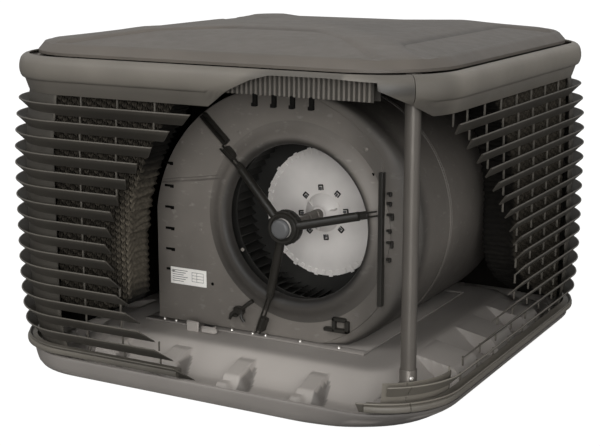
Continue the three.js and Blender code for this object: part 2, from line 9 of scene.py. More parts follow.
import bmesh
import bpy
import numpy as np
from mathutils import Euler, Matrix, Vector


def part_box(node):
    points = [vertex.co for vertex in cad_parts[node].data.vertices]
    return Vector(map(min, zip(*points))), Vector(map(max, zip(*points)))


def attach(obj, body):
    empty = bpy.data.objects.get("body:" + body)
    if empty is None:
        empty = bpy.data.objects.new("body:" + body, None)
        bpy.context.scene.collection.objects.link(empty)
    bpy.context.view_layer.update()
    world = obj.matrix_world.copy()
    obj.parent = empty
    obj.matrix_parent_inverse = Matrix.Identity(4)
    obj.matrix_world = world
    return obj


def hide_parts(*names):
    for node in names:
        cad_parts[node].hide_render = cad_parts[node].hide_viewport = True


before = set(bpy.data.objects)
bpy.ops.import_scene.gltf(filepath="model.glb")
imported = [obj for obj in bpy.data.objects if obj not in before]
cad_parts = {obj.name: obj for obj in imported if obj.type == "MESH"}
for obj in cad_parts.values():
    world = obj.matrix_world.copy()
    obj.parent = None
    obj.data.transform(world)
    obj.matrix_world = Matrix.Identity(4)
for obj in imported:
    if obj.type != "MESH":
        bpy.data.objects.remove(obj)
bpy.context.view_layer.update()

MM = 0.001
TAU = 2 * math.pi
scene = bpy.context.scene


def box_mm(node):
    low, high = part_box(node)
    return np.array(low) / MM, np.array(high) / MM


def rad(degrees):
    return math.radians(degrees)


# ------------------------------------------------------------------ sizes from the frame
disc_low, disc_high = box_mm("wheel_disc")
hub_low = box_mm("spider_hub")[0]
front_shell_low, front_shell_high = box_mm("scroll_front_shell")
rear_shell_high = box_mm("scroll_rear_shell")[1]
label_low, label_high = box_mm("rating_plate")
channel_low, channel_high = box_mm("edge_channel")
sensor_low, sensor_high = box_mm("sensor_block")
bracket_low, bracket_high = box_mm("cable_bracket")
base_low, base_high = box_mm("scroll_base_plate")

AXIS_X = (disc_low[0] + disc_high[0]) / 2
AXIS_Z = (disc_low[2] + disc_high[2]) / 2
FAN_CENTRE = (AXIS_X, 0, AXIS_Z)
DISC_FACE = disc_low[1]
HUB_FRONT = hub_low[1]
SCROLL_FRONT = front_shell_low[1]
SCROLL_SEAM = front_shell_high[1]
SCROLL_BACK = rear_shell_high[1]
SCROLL_LEFT = front_shell_low[0]
SCROLL_BOTTOM = front_shell_low[2]
SCROLL_WALL = 4
SCROLL_SHOULDER = 32
WRAP_RADIUS = 308
PLATE_EDGE_X = 332
INLET_HOLE = 200
INLET_RIM = 212
THROAT = 183

OUTLET_HALF = 277
BAND_HALF = 562
BAND_CORNER = 198
BLADE_COUNT = 16
BLADE_TOP_Z = 654
BLADE_PITCH = 38.4
BLADE_HALF = 576.5
BLADE_CORNER = 196
BLADE_TAPER = 0.0036
BLADE_DEPTH = 27
BLADE_DROP = 29
SLOT_HALF = 380
UPRIGHTS_X = (-SLOT_HALF, -303, -202, -101, 0, 101, 202, 303, SLOT_HALF)
CORNER_WALL = 2.5
LOUVRE_BOTTOM = 62
UPRIGHT_TOP = 676
WALL_TOP = 690
NEAR_WALL_TOP = 118
CORNER_BLADES_TOP = 124
CORNER_BLADE_STARTS = (300, 281)  # degrees round the near corner: the upper blade, the lower ones
CORNER_WALL_START = 297  # degrees round the near corner
NEAR_CORNER_X = 330
# painted light: how much paler the low blades and the low wall round the near corner are made
NEAR_CORNER_PAINTED_LIGHT = 1.7
NEAR_WALL_PAINTED_LIGHT = 1.9
MITRE = 0.25
PAD_OUTER = 529
PAD_INNER = 448
PAD_HALF = 390
CORE_INSET = 16
PAD_BOTTOM = 70
PAD_TOP = 694
TROUGH_Y = -504
TROUGH_WIDTH = 36
TROUGH_HALF = 421
TROUGH_BOTTOM = 700
COMB_PITCH = 11.5
TROUGH_TOP = 749
SIDES = {"front": 0, "right": 90, "back": 180, "left": 270}

# ------------------------------------------------------------------ camera, light and floor
CAMERA_PLACE = (1.557, -2.883, 1.040)
CAMERA_TURN = (rad(77.39), 0, rad(28.9))
CAMERA_LENS = 78.98


def make_camera():
    data = bpy.data.cameras.new("camera")
    data.sensor_width = 36
    data.lens = CAMERA_LENS
    data.clip_end = 200
    camera = bpy.data.objects.new("camera", data)
    camera.location = CAMERA_PLACE
    camera.rotation_euler = Euler(CAMERA_TURN)
    scene.collection.objects.link(camera)
    scene.camera = camera


def sun(name, azimuth, elevation, strength, spread):
    """Soft sun; azimuth 0 comes from the front, 90 from the right."""
    data = bpy.data.lights.new(name, "SUN")
    data.energy = strength
    data.angle = rad(spread)
    light = bpy.data.objects.new(name, data)
    a, e = rad(azimuth), rad(elevation)
    towards = Vector((math.sin(a) * math.cos(e), -math.cos(a) * math.cos(e), math.sin(e)))
    light.rotation_euler = towards.to_track_quat("Z", "Y").to_euler()
    scene.collection.objects.link(light)


def make_studio():
    scene.view_settings.view_transform = "Standard"
    world = bpy.data.worlds.new("studio")
    world.use_nodes = True
    nodes, links = world.node_tree.nodes, world.node_tree.links
    background = nodes["Background"]
    coordinates = nodes.new("ShaderNodeTexCoord")
    split = nodes.new("ShaderNodeSeparateXYZ")
    ramp = nodes.new("ShaderNodeValToRGB")
    links.new(coordinates.outputs["Generated"], split.inputs[0])
    links.new(split.outputs["Z"], ramp.inputs[0])
    ramp.color_ramp.elements[0].position = 0.0
    ramp.color_ramp.elements[0].color = (0.12, 0.12, 0.12, 1)
    ramp.color_ramp.elements[1].position = 0.35
    ramp.color_ramp.elements[1].color = (0.56, 0.56, 0.56, 1)
    links.new(ramp.outputs[0], background.inputs["Color"])
    background.inputs["Strength"].default_value = 1.0
    scene.world = world
    sun("key", -18, 46, 0.9, 40)
    sun("front", 27, 9, 2.0, 36)
    sun("side", 84, 6, 0.4, 60)


def make_floor():
    size = 80
    mesh = bpy.data.meshes.new("floor")
    corners = [(-size, -size, 0), (size, -size, 0), (size, size, 0), (-size, size, 0)]
    mesh.from_pydata(corners, [], [(0, 1, 2, 3)])
    floor = bpy.data.objects.new("floor", mesh)
    floor.visible_diffuse = False
    floor.visible_glossy = False
    material = bpy.data.materials.new("pale_floor")
    material.use_nodes = True
    shader = material.node_tree.nodes["Principled BSDF"]
    shader.inputs["Base Color"].default_value = (0.08, 0.08, 0.08, 1)
    shader.inputs["Roughness"].default_value = 0.9
    shader.inputs["Specular IOR Level"].default_value = 0.0
    shader.inputs["Emission Color"].default_value = (1, 1, 1, 1)
    shader.inputs["Emission Strength"].default_value = 1.0
    mesh.materials.append(material)
    scene.collection.objects.link(floor)


# ------------------------------------------------------------------ materials
def linear(r, g, b):
    """sRGB 0-255 to a linear colour."""
    def channel(value):
        value = value / 255
        return value / 12.92 if value <= 0.04045 else ((value + 0.055) / 1.055) ** 2.4
    return (channel(r), channel(g), channel(b), 1)


class Shade:
    """A Principled material, with short ways to add noise, mottle and bump to it."""

    def __init__(self, name, roughness=0.5, metallic=0.0, specular=0.5):
        self.material = bpy.data.materials.new(name)
        self.material.use_nodes = True
        self.nodes = self.material.node_tree.nodes
        self.links = self.material.node_tree.links
        self.shader = self.nodes["Principled BSDF"]
        self.shader.inputs["Metallic"].default_value = metallic
        self.shader.inputs["Roughness"].default_value = roughness
        self.shader.inputs["Specular IOR Level"].default_value = specular
        self.place = self.nodes.new("ShaderNodeTexCoord").outputs["Object"]

    def noise(self, scale, detail=3, stretch=None):
        source = self.place
        if stretch:
            mapping = self.nodes.new("ShaderNodeMapping")
            mapping.inputs["Scale"].default_value = stretch
            self.links.new(source, mapping.inputs["Vector"])
            source = mapping.outputs[0]
        texture = self.nodes.new("ShaderNodeTexNoise")
        texture.inputs["Scale"].default_value = scale
        texture.inputs["Detail"].default_value = detail
        self.links.new(source, texture.inputs["Vector"])
        return texture.outputs["Fac"]

    def ramp(self, value, low, high, colour_low, colour_high):
        ramp = self.nodes.new("ShaderNodeValToRGB")
        ramp.color_ramp.elements[0].position = low
        ramp.color_ramp.elements[0].color = colour_low
        ramp.color_ramp.elements[1].position = high
        ramp.color_ramp.elements[1].color = colour_high
        self.links.new(value, ramp.inputs[0])
        return ramp.outputs[0]

    def mix(self, factor, first, second, mode="MIX"):
        mix = self.nodes.new("ShaderNodeMix")
        mix.data_type = "RGBA"
        mix.blend_type = mode
        for socket, value in ((mix.inputs[0], factor), (mix.inputs[6], first), (mix.inputs[7], second)):
            if isinstance(value, bpy.types.NodeSocket):
                self.links.new(value, socket)
            else:
                socket.default_value = value
        return mix.outputs[2]

    def range(self, value, low, high):
        spread = self.nodes.new("ShaderNodeMapRange")
        spread.inputs["To Min"].default_value = low
        spread.inputs["To Max"].default_value = high
        self.links.new(value, spread.inputs["Value"])
        return spread.outputs[0]

    def attribute(self, name):
        node = self.nodes.new("ShaderNodeAttribute")
        node.attribute_name = name
        return node.outputs["Fac"]

    def colour(self, value):
        self.links.new(value, self.shader.inputs["Base Color"])

    def rough(self, value, low, high):
        self.links.new(self.range(value, low, high), self.shader.inputs["Roughness"])

    def bump(self, value, strength, distance):
        node = self.nodes.new("ShaderNodeBump")
        node.inputs["Strength"].default_value = strength
        node.inputs["Distance"].default_value = distance
        self.links.new(value, node.inputs["Height"])
        self.links.new(node.outputs[0], self.shader.inputs["Normal"])


def shades(colour, *levels):
    """One colour at several levels of brightness."""
    base = linear(*colour)
    return [tuple(c * level for c in base[:3]) + (1,) for level in levels]


def plastic(name, colour, variation=0.10, roughness=0.5, grain=900, mottle=9, specular=0.45, takes_painted_light=False):
    """Moulded plastic: slow colour drift, fine grain and uneven gloss; with the flag set, each piece's
    painted light and shade is multiplied into its colour.
    """
    shade = Shade(name, roughness, specular=specular)
    darker, lighter = shades(colour, 1 - variation, 1 + variation)
    drift = shade.noise(mottle, 4)
    colour = shade.ramp(drift, 0.35, 0.65, darker, lighter)
    shade.colour(shade.mix(1.0, colour, shade.attribute("painted_light_and_tone"), "MULTIPLY") if takes_painted_light else colour)
    shade.rough(shade.noise(mottle * 4, 3), roughness - 0.08, roughness + 0.08)
    shade.bump(shade.noise(grain, 2), 0.25, 0.0004)
    return shade


def worn_plastic(name, colour, scuff, variation=0.14, roughness=0.55, grain=700, specular=0.4):
    """Plastic with lighter scuffs over a slow drift of colour, as on the fan housing, with each piece's
    painted shade multiplied in.
    """
    shade = Shade(name, roughness, specular=specular)
    darker, lighter = shades(colour, 1 - variation, 1 + variation)
    drift = shade.ramp(shade.noise(5, 5), 0.35, 0.65, darker, lighter)
    scuffs = shade.ramp(shade.noise(38, 6, stretch=(1, 1, 1.8)), 0.60, 0.72, (0, 0, 0, 1), (1, 1, 1, 1))
    colour = shade.mix(scuffs, drift, linear(*scuff))
    shade.colour(shade.mix(1.0, colour, shade.attribute("painted_light_and_tone"), "MULTIPLY"))
    shade.rough(shade.noise(22, 4), roughness - 0.12, roughness + 0.12)
    shade.bump(shade.noise(grain, 2), 0.25, 0.0004)
    return shade


def metal(name, colour, roughness, metallic=1.0, brushed=None):
    shade = Shade(name, roughness, metallic)
    darker, base = shades(colour, 0.88, 1)
    shade.colour(shade.ramp(shade.noise(14, 4), 0.3, 0.7, darker, base))
    grain = shade.noise(180, 3, stretch=brushed)
    shade.rough(grain, roughness - 0.1, roughness + 0.1)
    shade.bump(grain, 0.12, 0.0003)
    return shade


def make_materials():
    made = {
        "lid": plastic("lid_plastic", (95, 89, 82), 0.06, 0.46, takes_painted_light=True),
        "band": plastic("band_plastic", (112, 107, 99), 0.06, 0.46, takes_painted_light=True),
        "louvre": plastic("louvre_plastic", (88, 84, 77), 0.07, 0.48, takes_painted_light=True),
        "tank": plastic("tank_plastic", (160, 154, 148), 0.05, 0.55, mottle=6, takes_painted_light=True),
        "scroll": worn_plastic("scroll_plastic", (128, 122, 115), (146, 141, 134)),
        "duct": plastic("duct_plastic", (62, 59, 54), 0.06, 0.55),
        "comb": plastic("distributor_plastic", (112, 107, 100), 0.06, 0.5),
        "black": plastic("black_plastic", (36, 34, 30), 0.15, 0.42),
        "pale": plastic("pale_plastic", (214, 210, 200), 0.05, 0.45),
        "pad": plastic("pad_paper", (84, 78, 68), 0.30, 0.92, grain=400, mottle=120, specular=0.2,
                       takes_painted_light=True),
        # nearly black: painted shade for the depth of the pads
        "pad_shade_core": plastic("pad_shade_core", (20, 18, 15), 0.20, 0.95, specular=0.1),
        "post": metal("post_metal", (104, 99, 93), 0.42, 0.45, brushed=(1, 1, 0.05)),
        "steel": metal("bright_steel", (226, 221, 216), 0.5, 0.1),
        "galvanised": metal("galvanised_sheet", (165, 163, 160), 0.5, 0.9),
        "screw": metal("screw_steel", (214, 210, 204), 0.35, 0.9),
        "motor": plastic("motor_paint", (88, 88, 88), 0.08, 0.4),
        "label": plastic("label_film", (250, 247, 241), 0.02, 0.45),
        "ink": plastic("label_ink", (120, 118, 116), 0.05, 0.6),
        # near-black, used as painted shade for the scroll face's holes and for the distributor tabs
        "dark": plastic("dark_opening", (12, 11, 9), 0.2, 0.8, specular=0.1),
        "wheel": plastic("wheel_plastic", (26, 25, 22), 0.15, 0.6),
    }
    return {key: shade.material for key, shade in made.items()}


materials = make_materials()


# ------------------------------------------------------------------ mesh helpers
def smooth_step(t):
    t = min(max(t, 0), 1)
    return t * t * (3 - 2 * t)


def across(axis, up, spare=(1, 0, 0)):
    """Two unit vectors square to an axis; spare stands in for up where the axis runs along it."""
    side = np.cross(axis, up if abs(np.dot(axis, up)) < 0.9 else spare)
    side /= np.linalg.norm(side)
    return side, np.cross(axis, side)


def circle(centre, radius, side, other, sides):
    """Points round a centre, in the plane of two unit vectors."""
    turns = [TAU * k / sides for k in range(sides)]
    return [centre + radius * (math.cos(a) * side + math.sin(a) * other) for a in turns]


class Build:
    """Collects points and faces in millimetres, then makes one mesh piece of them."""

    def __init__(self):
        self.points = []
        self.faces = []

    def add(self, points, faces):
        start = len(self.points)
        self.points.extend(tuple(map(float, p)) for p in points)
        self.faces.extend([start + i for i in face] for face in faces)

    def loft(self, rings, around=True, closed=False, caps=True):
        """Quads between rings of equal point count; caps close an open stack's two ends."""
        count = len(rings[0])
        points = [p for ring in rings for p in ring]
        faces = []
        steps = len(rings) if closed else len(rings) - 1
        for i in range(steps):
            here, there = i * count, ((i + 1) % len(rings)) * count
            for k in range(count if around else count - 1):
                k1 = (k + 1) % count
                faces.append((here + k, here + k1, there + k1, there + k))
        if caps and not closed:
            faces.append(tuple(reversed(range(count))))
            faces.append(tuple((len(rings) - 1) * count + k for k in range(count)))
        self.add(points, faces)

    def block(self, low, high, turn=None, bevel=1.0):
        """A box with chamfered edges, as a loft of eight-sided rings."""
        (x0, y0, z0), (x1, y1, z1) = low, high

        def ring(inset, z):
            xa, xb, ya, yb = x0 + inset, x1 - inset, y0 + inset, y1 - inset
            c = bevel
            return [(xa + c, ya, z), (xb - c, ya, z), (xb, ya + c, z), (xb, yb - c, z),
                    (xb - c, yb, z), (xa + c, yb, z), (xa, yb - c, z), (xa, ya + c, z)]
        rings = [ring(bevel, z0), ring(0, z0 + bevel), ring(0, z1 - bevel), ring(bevel, z1)]
        if turn:
            rings = [[turn(p) for p in r] for r in rings]
        self.loft(rings)

    def rod(self, start, end, radius, sides):
        """A round bar between two points, with its end edges eased."""
        start, end = np.array(start, float), np.array(end, float)
        length = np.linalg.norm(end - start)
        axis = (end - start) / length
        side, other = across(axis, (0, 0, 1))
        ease = min(radius * 0.25, length * 0.2)
        stations = ((start, radius - ease), (start + axis * ease, radius),
                    (end - axis * ease, radius), (end, radius - ease))
        self.loft([circle(centre, r, side, other, sides) for centre, r in stations])

    def turned(self, profile, centre, axis="y", sides=64):
        """Turns a list of (radius, place along the axis) round that axis."""
        rings = []
        for radius, place in profile:
            ring = []
            for k in range(sides):
                a = TAU * k / sides
                u, v = radius * math.cos(a), radius * math.sin(a)
                if axis == "y":
                    ring.append((centre[0] + u, place, centre[2] + v))
                else:
                    ring.append((centre[0] + u, centre[1] + v, place))
            rings.append(ring)
        self.loft(rings, closed=True)

    def sweep(self, path, section):
        """path: list of functions that place a section point (offset, height)."""
        self.loft([[place(offset, z) for offset, z in section] for place in path])

    def tube(self, path, radius, sides=14):
        """A round tube along a list of points."""
        path = [np.array(p, float) for p in path]
        rings = []
        for i, point in enumerate(path):
            ahead = path[min(i + 1, len(path) - 1)] - path[max(i - 1, 0)]
            side, other = across(ahead / np.linalg.norm(ahead), (0, 1, 0))
            rings.append(circle(point, radius, side, other, sides))
        self.loft(rings)

    def piece(self, name, material, body="cabinet", replaces=(), smooth=38, turn=0, bevel=0.0, painted_light_and_tone=None):
        mesh = bpy.data.meshes.new(name)
        points = np.array(self.points) * MM
        if turn:
            c, s = math.cos(rad(turn)), math.sin(rad(turn))
            points = points @ np.array([[c, s, 0], [-s, c, 0], [0, 0, 1]])
        mesh.from_pydata(points.tolist(), [], self.faces)
        mesh.materials.append(materials[material])
        # per-point painted light and shade, multiplied into the colour of the materials that take it
        painted_light_values = [painted_light_and_tone(*p) if painted_light_and_tone else 1.0 for p in self.points]
        mesh.attributes.new("painted_light_and_tone", "FLOAT", "POINT").data.foreach_set("value", painted_light_values)
        mesh.update()
        shape = bpy.data.objects.new(name, mesh)
        scene.collection.objects.link(shape)
        face_out(mesh)
        mesh.shade_smooth()
        mesh.set_sharp_from_angle(angle=rad(smooth))
        if bevel:
            modifier = shape.modifiers.new("eased_edges", "BEVEL")
            modifier.width = bevel * MM
            modifier.segments = 2
            modifier.limit_method = "ANGLE"
            modifier.angle_limit = rad(40)
        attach(shape, body)
        if replaces:
            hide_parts(*([replaces] if isinstance(replaces, str) else replaces))
        return shape


def face_out(mesh):
    work = bmesh.new()
    work.from_mesh(mesh)
    bmesh.ops.recalc_face_normals(work, faces=work.faces)
    work.to_mesh(mesh)
    work.free()


CORNER_STEPS = 14


def square_ring(half, corner, z, corner_steps, side_steps):
    """Rounded square, counter-clockwise from the front side's left end of the right-front corner."""
    ring = []
    centre = half - corner
    for index, (sx, sy) in enumerate(((1, -1), (1, 1), (-1, 1), (-1, -1))):
        start = -90 + 90 * index
        for i in range(corner_steps + 1):
            a = rad(start + 90 * i / corner_steps)
            ring.append((sx * centre + corner * math.cos(a), sy * centre + corner * math.sin(a), z))
        nx, ny = ((1, 1), (-1, 1), (-1, -1), (1, -1))[index]
        a = rad(start + 90)
        first = np.array((sx * centre + corner * math.cos(a), sy * centre + corner * math.sin(a)))
        last = np.array((nx * centre + corner * math.cos(a), ny * centre + corner * math.sin(a)))
        for i in range(1, side_steps):
            p = first + (last - first) * i / side_steps
            ring.append((p[0], p[1], z))
    return ring


def close_rings(profile, spacing=4):
    """The same profile with rings no further apart than the spacing."""
    rings = []
    for (h0, c0, z0), (h1, c1, z1) in zip(profile, profile[1:]):
        steps = max(1, round(abs(h0 - h1) / spacing))
        for i in range(steps):
            t = i / steps
            rings.append((h0 + (h1 - h0) * t, c0 + (c1 - c0) * t, z0 + (z1 - z0) * t))
    return rings + [profile[-1]]


def screw_head(build, place, direction, radius=4.5, height=3.0):
    """Pan-head screw with a dished top."""
    axis = np.array(direction, float)
    axis /= np.linalg.norm(axis)
    side, other = across(axis, (0, 0, 1))
    place = np.array(place, float)
    stations = ((radius, -1), (radius, height * 0.45), (radius * 0.8, height * 0.85),
                (radius * 0.45, height), (radius * 0.38, height * 0.55))
    build.loft([circle(place + axis * h, r, side, other, 14) for r, h in stations])


# ------------------------------------------------------------------ lid
# half width, corner radius and height of each ring
LID_PROFILE = ((530, 200, 758.4), (530, 200, 765), (528, 198, 767.5), (514, 176, 780), (510, 168, 783),
               (502, 158, 785.6), (478, 134, 789.5), (440, 112, 794), (400, 95, 799), (360, 80, 804.5),
               (330, 67, 809.2), (318, 62, 810.8), (300, 57, 811.4), (250, 48, 812.8), (200, 38, 814.2),
               (150, 28, 815.5), (100, 18, 816.6), (50, 8, 817.5), (12, 2, 817.9))
LID_UNDERSIDE = ((12, 2, 812), (318, 60, 806), (503, 152, 778), (524, 195, 758.4))
LID_SIDE_STEPS = 60
PANEL_DEPTH = 13
PANEL_OUTER = 500
PANEL_OUTER_SLOPE = 22
PANEL_GAP = 40  # from a diagonal to the panel beside it
PANEL_SIDE_SLOPE = 30
PANEL_STEPS = ((165, 235), (362, 412))  # from the middle: where a panel's inner slope starts and ends


def lid_panel(x, y):
    """How far a place on the lid is inside a sunk panel, and how far on its inner slope."""
    ax, ay = abs(x), abs(y)
    reach = max(ax, ay)
    start, stop = PANEL_STEPS[1] if x > ay else PANEL_STEPS[0]
    inner = smooth_step((reach - start) / (stop - start))
    outer = smooth_step((PANEL_OUTER - reach) / PANEL_OUTER_SLOPE)
    side = smooth_step((abs(ax - ay) / math.sqrt(2) - PANEL_GAP) / PANEL_SIDE_SLOPE)
    return inner * outer * side, 4 * inner * (1 - inner) * outer * side


def lid_height(x, y, z):
    return z if max(abs(x), abs(y)) > PANEL_OUTER + 5 else z - PANEL_DEPTH * lid_panel(x, y)[0]


def lid_painted_shade(x, y, z):
    """Painted shade: the steep inner slopes of the panels are darker, and the right side is a little darker
    too.
    """
    slope = lid_panel(x, y)[1]
    right = smooth_step((x - abs(y)) / 60)
    return 1.0 - 0.34 * slope - 0.16 * right


def make_lid():
    rings = [square_ring(h, c, z, CORNER_STEPS, LID_SIDE_STEPS) for h, c, z in close_rings(LID_PROFILE, 8)]
    rings = [[(x, y, lid_height(x, y, z)) for x, y, z in ring] for ring in rings]
    under = [square_ring(h, c, z, CORNER_STEPS, LID_SIDE_STEPS) for h, c, z in LID_UNDERSIDE]
    build = Build()
    build.loft(under + rings)
    build.piece("lid_shell", "lid", replaces="lid", smooth=30, painted_light_and_tone=lid_painted_shade)


# ------------------------------------------------------------------ pad frames
def front_cut_x(z):
    return -220 + (0.0022 if z > 330 else 0.0027) * (z - 330) ** 2


def right_cut_y(z):
    return -5 - 0.099 * (z - 270) ** 1.4 if z > 270 else -5 - 0.00148 * (270 - z) ** 2.47


def corner_path(half, corner, centre_sign, first, last, steps):
    """Placers round a front corner, from one angle to the other."""
    centre = half - corner
    path = []
    for i in range(steps + 1):
        a = rad(first + (last - first) * i / steps)

        def place(offset, z, a=a):
            r = corner + offset
            return (centre_sign * centre + r * math.cos(a), -centre + r * math.sin(a), z)
        path.append(place)
    return path


def side_path(half, corner, start=None, stop=None, steps=12):
    """Placers along one side seen as the front one; start and stop are cuts, x as a function of
    height, or for the start an angle round the right-hand corner."""
    path = []
    if isinstance(start, (int, float)):
        return corner_path(half, corner, 1, start, 315 - MITRE, steps)
    if start is None:
        path += corner_path(half, corner, -1, 225 + MITRE, 270, steps)
    else:
        path.append(lambda offset, z: (start(z), -half - offset, z))
    if stop is None:
        path += corner_path(half, corner, 1, 270, 315 - MITRE, steps)
    else:
        path.append(lambda offset, z: (stop(z), -half - offset, z))
    return path


def blade_half(index):
    return BLADE_HALF - BLADE_TAPER * (index - (BLADE_COUNT - 1) / 2) ** 4


def blade_section(z):
    """Thin blade: a rolled lip, then a face that falls inward, and back up its inner side."""
    section = ((-1.0, -0.1), (-0.2, -0.9), (0, -2.0), (-0.5, -3.1), (-1.6, -3.9), (-4.5, -6.6),
               (-12, -14.0), (-BLADE_DEPTH, -BLADE_DROP - 0.5), (-BLADE_DEPTH - 0.6, -BLADE_DROP + 2.6),
               (-13.5, -11.2), (-7, -4.6), (-4.4, -1.4), (-3.2, -0.2), (-2.2, 0.1))
    return [(offset, z + drop) for offset, drop in section]


def side_spans(side, z):
    """What is left of a blade at this height: (start cut, stop cut) pairs, in the side's own x."""
    if side == "front":
        spans = [(None, front_cut_x)]
        if z < CORNER_BLADES_TOP - 4:
            spans.append((CORNER_BLADE_STARTS[0] if z > 100 else CORNER_BLADE_STARTS[1], None))
        return spans
    if side == "right" and z > CORNER_BLADES_TOP:
        return [(right_cut_y, None)]
    return [(None, None)]


def at_near_corner(side, x, z, reach):
    """Whether a place is on the low blades that run on round the corner of front and right."""
    beyond = (side == "front" and x > reach) or (side == "right" and x < -reach)
    return beyond and z < CORNER_BLADES_TOP + 4


def blade_painted_light_and_shade(side):
    """Painted shade darkens the blade faces below their lips between the corners, least on the right, while
    the lips keep the plain colour;
    painted light makes the low blades round the near corner paler."""
    under_lip_shade = {"front": 0.50, "right": 0.12}.get(side, 0.3)

    def painted_light_and_tone(x, y, z):
        if at_near_corner(side, x, z, NEAR_CORNER_X):
            return NEAR_CORNER_PAINTED_LIGHT
        below_lip = (BLADE_TOP_Z - z) % BLADE_PITCH
        if below_lip < 4.2 or below_lip > BLADE_PITCH - 0.5:
            return 1.0
        corner = smooth_step((abs(x) - NEAR_CORNER_X) / 110)
        return 1.0 - under_lip_shade * (1 - 0.75 * corner) * smooth_step((below_lip - 4) / 10)
    return painted_light_and_tone


def make_blades(side):
    build = Build()
    for index in range(BLADE_COUNT):
        z = BLADE_TOP_Z - BLADE_PITCH * index
        for start, stop in side_spans(side, z):
            build.sweep(side_path(blade_half(index), BLADE_CORNER, start, stop), blade_section(z))
    build.piece(f"louvre_blades_{side}", "louvre", f"{side}_frame", f"pad_frame_{side}", 40, SIDES[side],
                painted_light_and_tone=blade_painted_light_and_shade(side))


def wall_depth(z):
    """How far in the wall behind the blades stands, which follows the blades' own barrel shape."""
    return blade_half((BLADE_TOP_Z - z) / BLADE_PITCH) - BLADE_DEPTH


def in_span(side, x, z):
    if side == "front":
        return x < front_cut_x(z) - 3 or (x > 470 and z < CORNER_BLADES_TOP - 6)
    if side == "right" and z > CORNER_BLADES_TOP:
        return x > right_cut_y(z) + 3
    return True


def wall_rows(side, sign):
    """Heights of the closed wall beside a side's end slots."""
    cut_away = side == "front" and sign > 0 or side == "right" and sign < 0
    return range(LOUVRE_BOTTOM, NEAR_WALL_TOP if cut_away else WALL_TOP, 9)


def add_uprights(build, side):
    for x in UPRIGHTS_X:
        for index in range(BLADE_COUNT + 1):
            z1 = BLADE_TOP_Z - BLADE_PITCH * (index - 1) - BLADE_DROP + 1 if index else UPRIGHT_TOP
            z0 = BLADE_TOP_Z - BLADE_PITCH * index - 12 if index < BLADE_COUNT else LOUVRE_BOTTOM
            if not (in_span(side, x, (z0 + z1) / 2) and in_span(side, x, z0)):
                continue
            y = -wall_depth((z0 + z1) / 2)
            build.block((x - 1.7, y + 0.5, z0), (x + 1.7, y + 4.5, z1), bevel=0.5)


def add_corner_wall(build, side, sign):
    """Closed wall from an end slot to the mitre; the near corner's starts part way round."""
    near = sign > 0 and side == "front"
    first = CORNER_WALL_START if near else 270
    corner = BLADE_CORNER - BLADE_DEPTH
    rings = []
    for z in wall_rows(side, sign):
        half = wall_depth(min(z, 640)) - max(0, z - 655) * 0.1
        centre = half - corner
        outside, inside = [], []
        if not near:
            outside.append((sign * SLOT_HALF, -half, z))
            inside.append((sign * SLOT_HALF, -half + CORNER_WALL, z))
        for i in range(13):
            a = rad(first + (315 - MITRE - first) * i / 12)
            for r, row in ((corner, outside), (corner - CORNER_WALL, inside)):
                row.append((sign * (centre + r * math.cos(a)), -centre + r * math.sin(a), z))
        rings.append(outside + inside[::-1])
    build.loft(rings)


def make_mullions(side):
    """Narrow uprights between the blades, and the closed corner walls beside the end slots."""
    build = Build()
    add_uprights(build, side)
    for sign in (-1, 1):
        add_corner_wall(build, side, sign)
    # painted shade darkens the closed corner walls, and painted light makes the low wall round the near
    # corner paler
    wall = {"front": 0.55, "right": 0.75}.get(side, 0.7)

    def painted_light_and_tone(x, y, z):
        if abs(x) < SLOT_HALF - 2:
            return 1.0
        return NEAR_WALL_PAINTED_LIGHT if at_near_corner(side, x, z, 0) else wall
    build.piece(f"louvre_uprights_{side}", "louvre", f"{side}_frame", (), 40, SIDES[side], painted_light_and_tone=painted_light_and_tone)


# out from the band's corner radius, and height
BAND_OUTSIDE = ((-21.5, 671), (-19, 677), (-15.5, 688), (-12.2, 698), (-11.2, 700.4), (-10.6, 701.8),
                (-8, 702.2), (-4.8, 704), (-2.2, 708.5), (-0.2, 715), (0.8, 722), (0.4, 731), (-1.4, 740),
                (-4.2, 747), (-8, 751.6), (-13, 755), (-19, 756.8), (-24, 757))
BAND_INSIDE = ((-24, 754), (-18, 753.4), (-10, 748.5), (-5.5, 740), (-3.2, 728), (-3.6, 716), (-7, 707),
               (-12, 702.5), (-16, 696), (-20, 684), (-24, 671))
# lowest height left of the front band, by x and by degrees round the near corner
BAND_CUT_X = ((41, 671), (78, 698), (104, 712), (158, 736), (200, 747), (330, 748), (364, 747))
BAND_CUT_TURN = ((270, 747), (292.8, 743), (293, 728), (331.5, 671))


def curve_at(curve, place):
    return float(np.interp(place, [p for p, z in curve], [z for p, z in curve]))


def chain_above(chain, low):
    """The part of a section's side above a height, with its points spread afresh."""
    bottom = min(z for offset, z in chain)
    top = max(z for offset, z in chain)
    rising = sorted(chain, key=lambda p: p[1])
    points = []
    for offset, z in chain:
        if low > bottom + 0.01:
            z = low + (z - bottom) * (top - low) / (top - bottom)
            offset = float(np.interp(z, [p[1] for p in rising], [p[0] for p in rising]))
        points.append((offset, z))
    return points


def band_section(low):
    return chain_above(BAND_OUTSIDE, low) + chain_above(BAND_INSIDE, low)


